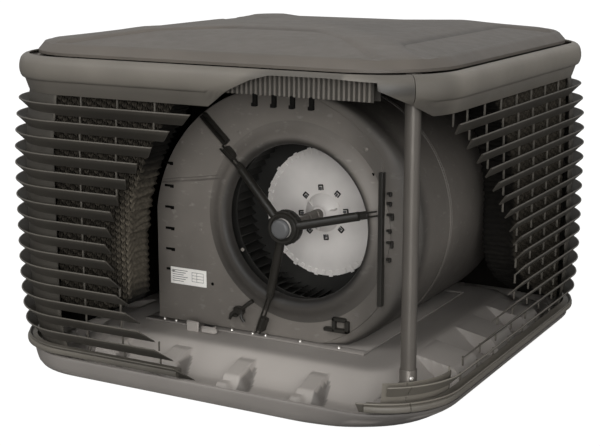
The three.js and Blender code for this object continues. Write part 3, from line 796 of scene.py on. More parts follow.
def band_stations(side):
    """Place and lowest height of each station along a band: straight ones by x, others by angle."""
    centre = BAND_HALF - BAND_CORNER
    low = BAND_OUTSIDE[0][1]
    stations = []
    for i in range(17):
        turn = 225 + MITRE + (45 - MITRE) * i / 16
        cut = curve_at(BAND_CUT_TURN, turn + 90) if side == "right" else low
        stations.append((-centre, turn, cut))
    for x in np.arange(-centre + 14, centre, 13.0):
        cut = curve_at(BAND_CUT_X, x) if side == "front" and x > 30 else low
        stations.append((x, 270, cut))
    turns = sorted([270 + (45 - MITRE) * i / 16 for i in range(17)] + [292.7, 293.1])
    for turn in turns:
        cut = curve_at(BAND_CUT_TURN, turn) if side == "front" else low
        stations.append((centre, turn, cut))
    return stations


def band_painted_light_and_shade(side):
    """Painted shade under the lip and towards the near corner, and on the front one along its cut edge too;
    the right one is given painted light elsewhere.
    """
    def painted_light_and_tone(x, y, z):
        if side == "right":
            corner = 0.38 * smooth_step((-x - 380) / 60)
            return 1.15 - corner - 0.25 * smooth_step((700 - z) / 8)
        if side != "front":
            return 1.0
        under = smooth_step((702 - z) / 8) * 0.35
        edge = curve_at(BAND_CUT_X, x) if x < 364 else curve_at(BAND_CUT_X, 364) - 20
        near = smooth_step(1 - abs(z - edge) / 22) * smooth_step((x - 60) / 120) * 0.45
        return 1.0 - max(under, near) - 0.28 * smooth_step((x - 380) / 60)
    return painted_light_and_tone


def make_band(side):
    """Smooth bulging band over the louvres; the front one is cut open over the near corner."""
    centre = BAND_HALF - BAND_CORNER
    rings = []
    for x, turn, low in band_stations(side):
        c, s = math.cos(rad(turn)), math.sin(rad(turn))
        rings.append([(x + (BAND_CORNER + offset) * c, -centre + (BAND_CORNER + offset) * s, z)
                      for offset, z in band_section(low)])
    build = Build()
    build.loft(rings)
    build.piece(f"top_band_{side}", "band", f"{side}_frame", (), 34, SIDES[side], painted_light_and_tone=band_painted_light_and_shade(side))


RAIL_HALF = 564
RAIL_CORNER = 180
RAIL_STOP_X = -42  # the front rail is cut away from here
RAIL_RESTART = 283  # to here, in degrees round the near corner
RAIL_SECTION = ((-24, 57), (-8, 57), (-4, 57.6), (-1.6, 59.4), (-0.8, 62), (-0.8, 68), (-2, 70.6), (-5, 72),
                (-14, 72.4), (-24, 74))


def make_rail(side):
    build = Build()
    if side == "front":
        build.sweep(side_path(RAIL_HALF, RAIL_CORNER, None, lambda z: RAIL_STOP_X), RAIL_SECTION)
        build.sweep(side_path(RAIL_HALF, RAIL_CORNER, RAIL_RESTART), RAIL_SECTION)
    else:
        build.sweep(side_path(RAIL_HALF, RAIL_CORNER), RAIL_SECTION)
    # painted light on the rail round the near corner, painted shade along the rest
    build.piece(f"bottom_rail_{side}", "louvre", f"{side}_frame", (), 34, SIDES[side],
                painted_light_and_tone=lambda x, y, z: 1.35 if abs(x) > NEAR_CORNER_X else 0.8)


# ------------------------------------------------------------------ cooling pads
FLUTE_PITCH = 7.0
FLUTE_WAVE = 15.0
FLUTE_HEIGHT = 2.6
FLUTE_SHIFT = 3.1  # from one sheet to the next
PAPER = 0.8


def front_pad_spans(x):
    """Heights at which the front pad still stands at this x."""
    def inside(z):
        if z >= 330:
            return x < -186 + 0.00115 * (z - 330) ** 2
        if z >= 215:
            return x < -186
        if z >= 190:
            return x < -210 + (z - 190) * 24 / 25
        if z >= 165:
            return x < -300 + (z - 165) * 90 / 25
        return z >= 150 and x < -460 + (z - 150) * 160 / 15
    return height_spans(inside)


def right_pad_spans(y):
    def inside(z):
        edge = 45 - 0.0016 * max(0, z - 360) ** 2 + 0.0075 * max(0, 300 - z) ** 2
        return y > edge
    return height_spans(inside)


def height_spans(inside):
    spans, start = [], None
    for z in np.arange(PAD_BOTTOM, PAD_TOP + 3, 3.0):
        if inside(z) and start is None:
            start = z
        if start is not None and (not inside(z) or z + 3 > PAD_TOP):
            if z - start > 6:
                spans.append((start, z))
            start = None
    return spans


def whole_spans(x):
    return [(PAD_BOTTOM, PAD_TOP)]


PAD_SPANS = {"front": front_pad_spans, "right": right_pad_spans, "back": whole_spans, "left": whole_spans}


def pad_painted_shade(side):
    """Painted shade: pads are darker behind the blades, and darker still deep inside their flutes."""
    def painted_light_and_tone(x, y, z):
        deep = smooth_step((PAD_OUTER + y - 1) / 12)
        if side == "front":
            open_air = smooth_step((x - front_cut_x(z) + 20) / 40)
        elif side == "right":
            open_air = 0.75 * smooth_step((right_cut_y(z) + 20 - x) / 40)
        else:
            open_air = 0.3
        return (0.40 + 0.60 * open_air) * (1 - 0.85 * deep * (1 - 0.85 * open_air))
    return painted_light_and_tone


def make_pad(side):
    """Corrugated sheets on edge: wavy ribbons whose waves slant with the depth."""
    build = Build()
    spans_of = PAD_SPANS[side]
    count = int(2 * PAD_HALF / FLUTE_PITCH)
    shown = side in ("front", "right")
    depths = (0, 3.5, 7, 10.5, 14, 21, 28, 42, 56, 70, 83) if shown else (0, 6, 12)
    step = 3.0 if shown else 5.0
    for k in range(count + 1):
        x = -PAD_HALF + 3 + k * (2 * PAD_HALF - 6) / count
        slant = 1 if k % 2 else -1
        for z0, z1 in spans_of(x):
            rows = []
            steps = max(2, int((z1 - z0) / step))
            for i in range(steps + 1):
                z = z0 + (z1 - z0) * i / steps
                row = []
                for d in depths:
                    wave = FLUTE_HEIGHT * math.sin(TAU * (z + slant * d + k * FLUTE_SHIFT) / FLUTE_WAVE)
                    row.append((x + wave, -PAD_OUTER + d, z))
                rows.append(row)
            build.loft(rows, around=False, caps=False)
    shape = build.piece(f"pad_flutes_{side}", "pad", f"{side}_frame", (), 60, SIDES[side],
                        painted_light_and_tone=pad_painted_shade(side))
    sheet = shape.modifiers.new("paper_thickness", "SOLIDIFY")
    sheet.thickness = PAPER * MM
    sheet.offset = 0


def make_pad_shade_core(side):
    """Painted shade: a dark block in a pad, behind the open ends of its flutes, standing for the shade deep
    inside it.
    """
    build = Build()
    spans_of = PAD_SPANS[side]
    xs = np.arange(-PAD_HALF + 6, PAD_HALF - 5, 8.0)
    for x in xs:
        for z0, z1 in spans_of(x + 12 if side == "front" else x - 12):
            if z1 - z0 > 12:
                low = (x - 4, -PAD_OUTER + CORE_INSET, z0 + 4)
                high = (x + 4, -PAD_INNER - 4, z1 - 4)
                build.block(low, high, bevel=0.4)
    build.piece(f"pad_shade_core_{side}", "pad_shade_core", f"{side}_frame", f"cooling_pad_{side}", 40, SIDES[side])


# ------------------------------------------------------------------ water distributors
def make_distributor(side):
    """Trough over a pad, open below."""
    build = Build()
    y0, y1 = TROUGH_Y - TROUGH_WIDTH / 2, TROUGH_Y + TROUGH_WIDTH / 2
    wall = 2.5
    section = ((y0 + 1.5, TROUGH_BOTTOM), (y0 + 1.5, TROUGH_TOP), (y1, TROUGH_TOP), (y1, TROUGH_BOTTOM),
               (y1 - wall, TROUGH_BOTTOM), (y1 - wall, TROUGH_TOP - wall),
               (y0 + 1.5 + wall, TROUGH_TOP - wall), (y0 + 1.5 + wall, TROUGH_BOTTOM))
    build.loft([[(x, y, z) for y, z in section] for x in (-TROUGH_HALF, TROUGH_HALF)])
    build.piece(f"distributor_trough_{side}", "duct", "cabinet", f"water_distributor_{side}", 40,
                SIDES[side])


def make_comb(side):
    """Upright ribs on a trough's front wall, and the tabs below it."""
    y0 = TROUGH_Y - TROUGH_WIDTH / 2
    build = Build()
    for k in range(int(2 * TROUGH_HALF / COMB_PITCH)):
        x = -TROUGH_HALF + 4 + k * COMB_PITCH
        build.block((x, y0 - 3.5, TROUGH_BOTTOM + 0.5), (x + 4.6, y0 + 2.2, TROUGH_TOP - 2), bevel=0.6)
    build.block((-TROUGH_HALF, y0 - 0.8, TROUGH_TOP - 3), (TROUGH_HALF, y0 + 2, TROUGH_TOP), bevel=0.6)
    build.piece(f"distributor_comb_{side}", "comb", "cabinet", (), 40, SIDES[side])
    tabs = Build()
    for x in (146, 192, 236, 281) if side == "front" else (-300, -100, 100, 300):
        tabs.block((x - 5, y0 - 4, TROUGH_BOTTOM - 20), (x + 5, y0 + 4, TROUGH_BOTTOM + 3), bevel=1)
        tabs.block((x - 7, y0 - 6, TROUGH_BOTTOM - 24), (x + 4, y0 + 6, TROUGH_BOTTOM - 16), bevel=1)
    tabs.piece(f"distributor_tabs_{side}", "dark", "cabinet", (), 40, SIDES[side])


# ------------------------------------------------------------------ tank
TANK_SIDE_STEPS = 210
# half width, corner radius, height, and for the outside how far its right is tucked in
TANK_TOP = ((553, 194, 50.0), (551, 192, 50.6), (547.5, 189, 49.6), (545, 187, 45), (542, 184, 34),
            (538, 181, 29), (531, 174, 27.4), (500, 145, 27.4), (470, 118, 27.8), (460, 110, 29.5),
            (453, 104, 34), (440, 94, 44), (400, 62, 77), (393, 57, 82), (387, 53, 85.4), (379, 48, 87.4),
            (368, 42, 88.2))
TANK_OUTSIDE = ((446, 100, 0.4, 0), (526, 176, 0.4, 34), (538, 184, 1.6, 34), (545, 189, 5, 31),
                (550, 192, 13, 23), (553, 194, 25, 12), (555, 195, 36, 5), (556, 196, 44, 0),
                (556, 196, 47.5, 0), (555, 195, 49.4, 0))
TANK_INSIDE = ((OUTLET_HALF, 6, 0.4), (300, 12, 0.4), (300, 12, 78), (372, 44, 78), (446, 100, 16))


WEDGE_FLARE = 0.30  # how fast a buttress widens to its right as it runs out


def wedge(x, y, low, high, y_top, y_foot, z_top, z_foot, soft=5):
    """Height of a buttress that runs out from the slope, and how much of it counts at its edges."""
    flare = WEDGE_FLARE * max(0, y_top - y)
    if not (low - soft < x < high + flare + soft and y_foot - 30 < y < y_top + 30):
        return -1e3, 0
    t = min(max((y - y_foot) / (y_top - y_foot), 0), 1)
    z = z_foot + (z_top - z_foot) * t
    z -= 24 * smooth_step((y_foot - y) / 24)
    side = (high + flare - x) / (soft + flare)
    edge = min(smooth_step((x - low + soft) / soft), min(max(side, 0), 1))
    return z, min(edge, smooth_step((y - y_foot + 30) / 8))


# one buttress each: from x, to x, y at the slope, y at its end, height at the slope and at its end
FRONT_WEDGES = ((-146, -96, -424, -474, 74, 60), (36, 80, -426, -480, 72, 58),
                (226, 270, -426, -480, 70, 56), (410, 446, -426, -484, 70, 56),
                (-330, -270, -424, -474, 74, 60))
FRONT_FEET = ((34, 62, -470, -508, 46, 44), (222, 248, -470, -508, 46, 44),
              (-148, -118, -466, -504, 46, 44))
RIGHT_WEDGES = ((230, 330, -395, -486, 84, 66), (20, 140, -395, -482, 84, 66),
                (-226, -96, -395, -486, 84, 66))
LEFT_WEDGES = RIGHT_WEDGES[:2]  # none where the float arm swings


def tank_height(x, y, z):
    for wedges, (u, v) in ((FRONT_WEDGES + FRONT_FEET, (x, y)), (RIGHT_WEDGES, (y, -x)),
                           (RIGHT_WEDGES, (-x, -y)), (LEFT_WEDGES, (-y, x))):
        if v > -370 or v < -535:
            continue
        for sizes in wedges:
            height, edge = wedge(u, v, *sizes)
            if height > z:
                z = z + (height - z) * edge
    return z


def tank_reach(x, y):
    """Distance from the middle, measured to the rounded square the tank follows."""
    ax, ay = abs(x), abs(y)
    if min(ax, ay) < 360:
        return max(ax, ay)
    return 360 + math.hypot(ax - 360, ay - 360)


def tank_tone_and_painted_light(x, y, z):
    """Outside darker, with painted shade deepening to the right; inside, painted light on the front to the
    left and painted shade towards the right and back, on the plateau above the slope, down the rim's inner
    wall and on the buttresses' right faces.
    """
    if z < 26 or tank_reach(x, y) > 551.8:
        return 0.62 - 0.30 * smooth_step((x - 200) / 300)
    front = 1.0 - 0.30 * smooth_step((x - 60) / 420) + 0.45 * smooth_step((-60 - x) / 160)
    blend = smooth_step((x + y + 60) / 130)
    level = 1.0 - 0.2 * smooth_step((z - 80) / 8)
    # painted shade down the rim's inner wall
    if 542 < tank_reach(x, y) < 548.5:
        level *= 0.55
    # painted shadow on each buttress's right face
    for _, high, y_top, y_foot, _, _ in FRONT_WEDGES:
        flare = WEDGE_FLARE * max(0, y_top - y)
        if high - 1 < x < high + flare + 7 and y_foot - 24 < y < y_top + 4:
            level *= 0.5
            break
    return (front * (1 - blend) + 0.82 * blend) * level


SUMP = (-427, -303, 118, 428)  # inner faces of the pocket that the pump and the float stand in
SUMP_FLOOR = 7


def in_sump(x, y, margin=0):
    x0, x1, y0, y1 = SUMP
    return x0 - margin < x < x1 + margin and y0 - margin < y < y1 + margin


def make_tank():
    top = []
    for half, corner, height in close_rings(TANK_TOP + ((300, 12, 88.3), (OUTLET_HALF, 6, 88.2))):
        ring = square_ring(half, corner, height, CORNER_STEPS, TANK_SIDE_STEPS)
        top.append([(x, y, SUMP_FLOOR if in_sump(x, y) else tank_height(x, y, z)) for x, y, z in ring])
    outside = []
    for half, corner, height, tuck in TANK_OUTSIDE:
        low = 1 - smooth_step((height - 10) / 34)
        squeeze = 1 - tuck / half
        outside.append([(x * squeeze if x > 0 else x, y, z + 9 * low * smooth_step((x - 260) / 200))
                        for x, y, z in square_ring(half, corner, height, CORNER_STEPS, TANK_SIDE_STEPS)])
    inside = []
    for half, corner, height in close_rings(TANK_INSIDE):
        ring = square_ring(half, corner, height, CORNER_STEPS, TANK_SIDE_STEPS)
        inside.append([(x, y, min(z, 1) if in_sump(x, y, 6) else z) for x, y, z in ring])
    build = Build()
    build.loft(outside + top + inside, closed=True)
    build.piece("tank_moulding", "tank", replaces="tank", smooth=32, painted_light_and_tone=tank_tone_and_painted_light)


def make_tank_details():
    """Upstand tabs at the scroll's foot and the walls of the sump pocket."""
    tank = Build()
    tank.block((-166, -334, 80), (-132, -326, 113), bevel=2.5)
    tank.block((-126, -336, 84), (-82, -318, 106), bevel=7)
    x0, x1, y0, y1 = SUMP[0] - 4, SUMP[1] + 4, SUMP[2] - 4, SUMP[3] + 4
    for low, high in (((x0, y0, 1), (x1, y0 + 8, 89)), ((x0, y1 - 8, 1), (x1, y1, 89)),
                      ((x0, y0, 1), (x0 + 8, y1, 89)), ((x1 - 8, y0, 1), (x1, y1, 89))):
        tank.block(low, high, bevel=1)
    tank.piece("tank_upstands", "tank")


# ------------------------------------------------------------------ scroll
OUTLET_CORNER = 180 + math.degrees(math.atan2(AXIS_Z - SCROLL_BOTTOM, AXIS_X - SCROLL_LEFT))


WRAP_OPENS = 95  # from this angle to 180 the wrap grows towards the flat left side
PLATE_CORNER = 73
PLATE_RADIUS = 268
PLATE_GROWTH = 0.0037
PLATE_SHOULDER = 20


def wrap_radius(angle):
    bottom = AXIS_Z - SCROLL_BOTTOM
    left = AXIS_X - SCROLL_LEFT
    if angle < -45:
        return min(WRAP_RADIUS, bottom / abs(math.sin(rad(angle))))
    if angle < WRAP_OPENS:
        return WRAP_RADIUS
    if angle < 180:
        return WRAP_RADIUS + (left - WRAP_RADIUS) * (angle - WRAP_OPENS) / (180 - WRAP_OPENS)
    if angle < OUTLET_CORNER:
        return left / abs(math.cos(rad(angle)))
    return bottom / abs(math.sin(rad(angle)))


def plate_radius(angle):
    wrap = wrap_radius(angle)
    if angle <= PLATE_CORNER:
        round_edge = PLATE_RADIUS + PLATE_GROWTH * angle * angle
        straight = (PLATE_EDGE_X - AXIS_X) / math.cos(rad(angle)) if abs(angle) < 60 else round_edge
        return min(round_edge, straight, wrap)
    return wrap - max(0, PLATE_SHOULDER - (angle - PLATE_CORNER))


def scroll_angles():
    even = [-90 + 2.5 * i for i in range(144)]
    return sorted({*even, OUTLET_CORNER - 0.6, OUTLET_CORNER, OUTLET_CORNER + 0.6})


def fan_ring(radius_at, y, angles=None):
    """Ring about the fan axis, its radius a function of the angle; all round unless angles are given."""
    ring = []
    for angle in scroll_angles() if angles is None else angles:
        r = radius_at(angle)
        ring.append((AXIS_X + r * math.cos(rad(angle)), y, AXIS_Z + r * math.sin(rad(angle))))
    return ring


def between(radius_a, radius_b, t):
    return lambda angle: radius_a(angle) + (radius_b(angle) - radius_a(angle)) * t


def scroll_rings(plate_y, seam_y):
    """Outer skin of one half: face, rolled shoulder, wall, with the seam's small flange."""
    sign = 1 if seam_y > plate_y else -1
    rings = [fan_ring(lambda a: INLET_HOLE, plate_y)]
    for i in range(1, 16):
        rings.append(fan_ring(between(lambda a: INLET_HOLE, plate_radius, i / 16), plate_y))
    rings.append(fan_ring(lambda a: plate_radius(a) - 1.5, plate_y + sign * 0.3))
    rings.append(fan_ring(plate_radius, plate_y + sign * 2.2))
    for i in range(1, 11):
        t = i / 10 * math.pi / 2
        turn = math.sin(t) ** 0.7
        drop = 2.2 + (SCROLL_SHOULDER - 2.2) * (1 - math.cos(t) ** 0.8)
        rings.append(fan_ring(between(plate_radius, wrap_radius, turn), plate_y + sign * drop))
    for t in (0.25, 0.5, 0.75):
        y = plate_y + sign * SCROLL_SHOULDER
        rings.append(fan_ring(wrap_radius, y + (seam_y - sign * 12 - y) * t))
    rings.append(fan_ring(wrap_radius, seam_y - sign * 12))
    rings.append(fan_ring(wrap_radius, seam_y - sign * 2.2))
    rings.append(fan_ring(lambda a: wrap_radius(a) - 2, seam_y - sign * 1.2))
    return rings


def scroll_painted_shade(x, y, z):
    """Painted shade: the face darkens towards its foot and its right edge, and the shoulder and the wrap
    are darker, most low down and at the top.
    """
    wrap = (0.62 - 0.22 * smooth_step((z - 560) / 110)) * (0.45 + 0.55 * smooth_step((z - 190) / 160))
    if y > SCROLL_FRONT + SCROLL_SHOULDER:
        return wrap
    foot = 0.62 + 0.38 * smooth_step((z - 150) / 300)
    face = foot * (1 - 0.45 * smooth_step((x - 215) / 90))
    return face + (wrap * 0.45 - face) * smooth_step((y - SCROLL_FRONT - 1) / 10)


def make_scroll_half(name, node, plate_y, seam_y):
    sign = 1 if seam_y > plate_y else -1
    outer = scroll_rings(plate_y, seam_y)

    def inner_wrap(angle):
        return wrap_radius(angle) - SCROLL_WALL

    def inner_plate(angle):
        return plate_radius(angle) - SCROLL_WALL
    inner = [fan_ring(inner_wrap, seam_y), fan_ring(inner_wrap, plate_y + sign * (SCROLL_SHOULDER + 2))]
    for i in range(1, 5):
        t = i / 4
        turn = math.cos(t * math.pi / 2)
        drop = SCROLL_WALL + (SCROLL_SHOULDER - SCROLL_WALL) * (1 - math.sin(t * math.pi / 2))
        inner.append(fan_ring(between(inner_plate, inner_wrap, turn), plate_y + sign * drop))
    inner.append(fan_ring(lambda a: INLET_HOLE, plate_y + sign * SCROLL_WALL))
    build = Build()
    build.loft(outer + inner, closed=True)
    open_outlet(build)
    build.piece(name, "scroll", replaces=node, smooth=36, painted_light_and_tone=scroll_painted_shade)


def open_outlet(build):
    """Leaves out the faces of the flat bottom over the duct."""
    points = build.points

    def over_duct(face):
        return all(points[i][2] < SCROLL_BOTTOM + 6 and SCROLL_LEFT + 12 < points[i][0] < 84
                   and abs(points[i][1]) < 274 for i in face)
    build.faces = [face for face in build.faces if not over_duct(face)]


def make_inlet_ring(name, node, face, side):
    """Soft bellmouth that swells out of the face and rolls into a narrow throat."""
    outside = [(238, 0.3), (232, 0.8), (226, 2.0), (220, 4.4), (214, 8.0), (208, 11.4), (202, 13.6),
               (197, 13.8), (192, 12.0), (188, 8.6), (185.2, 4.2), (183.6, -0.8), (THROAT, -5.5),
               (THROAT, -10)]
    inside = [(THROAT + 2.6, -10), (THROAT + 2.8, -4), (188, 3), (193, 8), (199, 9.5), (206, 7),
              (214, 2.6), (224, -1.2), (238, -1.2)]
    profile = [(radius, face + side * rise) for radius, rise in outside + inside]
    build = Build()
    build.turned(profile, FAN_CENTRE, sides=144)

    # painted shade: darker where the lip rolls into the throat, and towards the bottom
    def painted_light_and_tone(x, y, z):
        radius = math.hypot(x - AXIS_X, z - AXIS_Z)
        roll = smooth_step((206 - radius) / 16)
        foot = 0.26 + 0.60 * smooth_step((z - AXIS_Z + 170) / 300)
        return (1.0 - 0.72 * roll) * foot
    build.piece(name, "scroll", replaces=node, smooth=50, painted_light_and_tone=painted_light_and_tone)


def make_face_rib():
    face = SCROLL_FRONT
    rib = Build()
    path = [(-257, 441), (-205, 449), (-160, 455), (-110, 463), (-62, 471)]
    for lower, upper, out in ((-6, -1.5, 3.4), (2.5, 5, 1.6)):
        rings = []
        for x, z in path:
            rings.append([(x, face + 0.5, z + lower), (x, face - out * 0.7, z + lower + 0.6),
                          (x, face - out, z + (lower + upper) / 2), (x, face - out * 0.7, z + upper - 0.6),
                          (x, face + 0.5, z + upper)])
        rib.loft(rings)
    rib.piece("scroll_face_rib", "scroll", painted_light_and_tone=lambda x, y, z: 0.75)


def make_face_slots():
    """Slots and holes on the scroll's front face, drawn as dark plates: painted shade for the openings."""
    face = SCROLL_FRONT
    dark = Build()
    for z in (487, 431, 378, 325, 273, 222):
        dark.block((-252, face - 0.9, z - 3), (-226, face + 0.6, z + 3), bevel=0.4)
        dark.block((-236, face - 1.6, z - 5), (-226, face + 0.6, z - 1), bevel=0.6)
    for x, z in ((309, 507), (309, 270), (191, 133), (-118, 199)):
        dark.rod((x, face + 1, z), (x, face - 0.7, z), 4, 16)
    dark.piece("scroll_face_slots", "dark")


def make_face_screws():
    screws = Build()
    for x, z in ((292, 562), (-38, 575), (-32, 295), (292, 262), (-200, 540), (-150, 330)):
        screw_head(screws, (x, SCROLL_FRONT, z), (0, -1, 0), 4.5, 2.6)
    screws.piece("scroll_face_screws", "scroll")


def make_seam():
    """Raised seam hoop round the scroll where its halves meet."""
    build = Build()
    section = ((-9, 0.2), (-8.4, 2.0), (-3.6, 2.2), (-3, 0.4), (-1.2, 0.2), (-0.6, 2.0), (3.4, 2.2),
               (4.2, 0.2), (4.2, -1.0), (-9, -1.0))
    angles = np.arange(-52, 216, 3.0)
    rings = [fan_ring(lambda a, out=out: wrap_radius(a) + out, SCROLL_SEAM + along, angles)
             for along, out in section]
    build.loft(rings, closed=True)
    build.piece("scroll_seam_hoop", "scroll", smooth=30, painted_light_and_tone=scroll_painted_shade)


# ------------------------------------------------------------------ label, channel, clips
def make_label():
    """Plain label: blank bars and a small blank table."""
    y = label_low[1]
    x0, x1, z0, z1 = label_low[0], label_high[0], label_low[2], label_high[2]
    film = Build()
    film.block((x0, y, z0), (x1, label_high[1], z1), bevel=0.45)
    film.piece("label_film_sheet", "label", replaces="rating_plate")
    ink = Build()
    for k in range(6):
        z = z1 - 8 - k * 5.4
        ink.block((x0 + 6, y - 0.25, z), (x0 + 50 - 6 * (k % 3), y + 0.1, z + 1.6), bevel=0.05)
    for k in range(4):
        z = z1 - 9 - k * 7.6
        ink.block((x0 + 62, y - 0.25, z), (x1 - 8, y + 0.1, z + 1.0), bevel=0.05)
    for x in (x0 + 62, x0 + 76, x1 - 9):
        ink.block((x, y - 0.25, z1 - 32), (x + 1, y + 0.1, z1 - 8), bevel=0.05)
    ink.piece("label_bars", "ink")


def make_channel():
    """Edge channel down the plate's straight edge, with clips beyond it."""
    x0, x1 = channel_low[0], channel_high[0]
    z0, z1 = channel_low[2], channel_high[2]
    y0, y1 = channel_low[1], channel_high[1]
    build = Build()
    section = ((x0, y1), (x0, y0 + 1), (x0 + 1, y0), (x1 - 1, y0), (x1, y0 + 1), (x1, y1), (x1 - 2, y1),
               (x1 - 2, y0 + 3), (x0 + 2, y0 + 3), (x0 + 2, y1))
    build.loft([[(x, y, z) for x, y in section] for z in np.linspace(z0, z1, 12)])
    build.piece("edge_channel_strip", "black", replaces="edge_channel", bevel=0.3)
    clips = Build()
    for z in (468, 446, 420, 384, 357, 318):
        big = z in (420, 357)
        width = 14 if big else 9
        drop = 13 if big else 7
        low, high = SCROLL_FRONT - 7, SCROLL_FRONT + 12
        clips.block((x1 + 6, low, z - 3), (x1 + 6 + width, high, z + 3), bevel=1.2)
        clips.block((x1 + 2 + width, low, z - drop), (x1 + 7 + width, high, z + 3), bevel=1.2)
    clips.piece("edge_clips", "black")


def make_sensor_clip():
    """Forked clip with its two prongs."""
    y0, y1 = sensor_low[1], sensor_high[1]
    build = Build()
    build.tube([(6, y0 + 6, 178), (-8, y0 + 4, 168), (-22, y0 + 6, 156), (-34, y0 + 10, 150)], 5)
    build.block((-50, y0 + 4, 138), (-24, y1, 156), bevel=3)
    build.tube([(-46, y0 + 9, 146), (-56, y0 + 6, 136), (-60, y0 + 8, 124)], 3.6)
    build.tube([(-30, y0 + 9, 142), (-26, y0 + 6, 130), (-20, y0 + 8, 122)], 3.6)
    build.block((-58, y0 + 12, 128), (-44, y1, 136), bevel=1.5)
    build.piece("sensor_clip", "black", replaces="sensor_block")


def make_cable_holder():
    box = Build()
    x0, x1, z0, z1 = bracket_low[0], bracket_high[0], bracket_low[2], bracket_high[2]
    yb0, yb1 = bracket_low[1], bracket_high[1]
    box.block((x0, yb0, z0), (x1, yb1, z0 + 9), bevel=2)
    box.block((x0 + 22, yb0, z0), (x0 + 30, yb1, z1), bevel=2)
    box.block((x1 - 9, yb0, z0), (x1, yb1, z1 - 6), bevel=2)
    box.block((x0 + 22, yb0, z1 - 9), (x1 - 8, yb1, z1), bevel=2)
    box.piece("cable_holder", "black", replaces="cable_bracket")


# ------------------------------------------------------------------ spider, shaft and hub
ARMS = ((12.5, 215), (139, 246), (251, 285))  # angle and reach of each
BRACE_ANGLE = 136.5


def around_fan(angle):
    """Turns a point given as (distance out, y, across) to an arm's angle about the fan axis."""
    c, s = math.cos(rad(angle)), math.sin(rad(angle))

    def place(p):
        return (AXIS_X + p[0] * c - p[2] * s, p[1], AXIS_Z + p[0] * s + p[2] * c)
    return place


def make_spider():
    tubes = Build()
    feet = Build()
    y_hub, y_strap = HUB_FRONT + 18, SCROLL_FRONT - 19
    for angle, reach in ARMS:
        place = around_fan(angle)
        path = ((34, y_hub - 1), (60, y_hub + 5), (110, y_hub + 16), (150, y_hub + 25), (176, y_hub + 30))
        tubes.tube([place((r, y, 0)) for r, y in path], 10.5, 24)
        for beside in (-6.5, 3.5):
            low = (172, y_strap - 5, beside)
            high = (reach + 6, y_strap + 1, beside + 3.4)
            feet.block(low, high, turn=place, bevel=0.8)
        feet.block((166, y_strap - 4, -9), (196, y_strap + 3, 9), turn=place, bevel=1.5)
        if reach > INLET_RIM + 30:
            feet.block((reach - 34, y_strap - 2, -9), (reach, SCROLL_FRONT, 9), turn=place, bevel=1.5)
    tubes.piece("spider_tubes", "black", replaces=[f"spider_arm_{i}" for i in (1, 2, 3)])
    feet.piece("spider_straps", "black")
    channel = Build()
    place = around_fan(BRACE_ANGLE)
    for beside in (-9, 3):
        channel.block((252, SCROLL_FRONT - 14, beside), (344, SCROLL_FRONT, beside + 6), place, 1.5)
    for out in (252, 292, 338):
        channel.block((out, SCROLL_FRONT - 9, -5), (out + 6, SCROLL_FRONT, 5), place, 1.5)
    channel.piece("spider_brace", "black")


def make_hub_housing():
    y = HUB_FRONT
    build = Build()
    build.turned([(24, y + 33), (37, y + 33), (39.5, y + 30), (39.5, y + 24), (36, y + 23), (36, y + 20.5),
                  (40, y + 19.5), (40, y + 12), (38.5, y + 10), (35, y + 9.4), (35, y + 7), (36.5, y + 6),
                  (36, y + 2), (34, y), (29, y), (28, y + 2.5), (24, y + 2.5)], FAN_CENTRE, sides=48)
    for k in range(12):
        place = around_fan(30 * k + 8)
        build.block((35, y + 10, -3.2), (41.5, y + 19, 3.2), turn=place, bevel=1)
    build.piece("hub_housing", "black", replaces="spider_hub")


def make_cap_and_shaft():
    y = HUB_FRONT
    cap = Build()
    cap.turned([(0.4, y - 2), (22.5, y - 2), (23, y - 3), (23, y - 6), (22, y - 9), (19.5, y - 11.6),
                (17, y - 12.8), (8, y - 13), (0.4, y - 13)], FAN_CENTRE, sides=40)
    cap.piece("hub_cap_dome", "motor", replaces="hub_cap")
    shaft = Build()
    shaft.turned([(0.4, 318), (9, 318), (10, 316), (10, -172), (13.5, -173), (13.5, -200), (12, -201),
                  (12, -214), (13.5, -215), (13.5, -236), (10, -237), (10, y + 10), (0.4, y + 10)],
                 FAN_CENTRE, sides=32)
    shaft.piece("shaft_stepped", "post", "fan_wheel", "fan_shaft")


# ------------------------------------------------------------------ wheel
RIM_TABS = 48
WHEEL_BLADES = 56
WHEEL_BLADE_HALF_THICKNESS = 0.8


def make_wheel_disc():
    y = DISC_FACE
    disc = Build()
    disc.turned([(30, y + 3), (141, y + 3), (156, y + 3), (156, y + 0.8), (142, y + 0.8), (140.5, y),
                 (100, y - 0.2), (60, y - 0.2), (47, y - 0.4), (30, y - 0.4)], FAN_CENTRE, sides=128)
    disc.piece("wheel_disc_plate", "steel", "fan_wheel", "wheel_disc")
    rim = Build()
    for k in range(RIM_TABS):
        reach = 157 + 2.5 * math.sin(2.4 * k)
        place = around_fan(360 / RIM_TABS * k)
        rim.block((143, y - 1.2, -5.2), (reach, y + 2.4, 5.2), turn=place, bevel=1.2)
    rim.piece("wheel_rim_tabs", "steel", "fan_wheel")


def make_wheel_hub():
    y = DISC_FACE
    hub = Build()
    hub.turned([(10.4, -136), (29, -136), (29, y - 0.6), (46, y - 0.6), (47, y - 2), (45, y - 4.4),
                (41, y - 8), (34, y - 14), (25, y - 20), (19, y - 24), (18, y - 27), (10.4, y - 27)],
               FAN_CENTRE, sides=64)
    for k in range(3):
        place = around_fan(20 + 120 * k)
        hub.block((14, y - 19, -2.2), (43, y - 3, 2.2), turn=place, bevel=1.8)
    hub.piece("wheel_hub_dome", "steel", "fan_wheel", "wheel_hub")


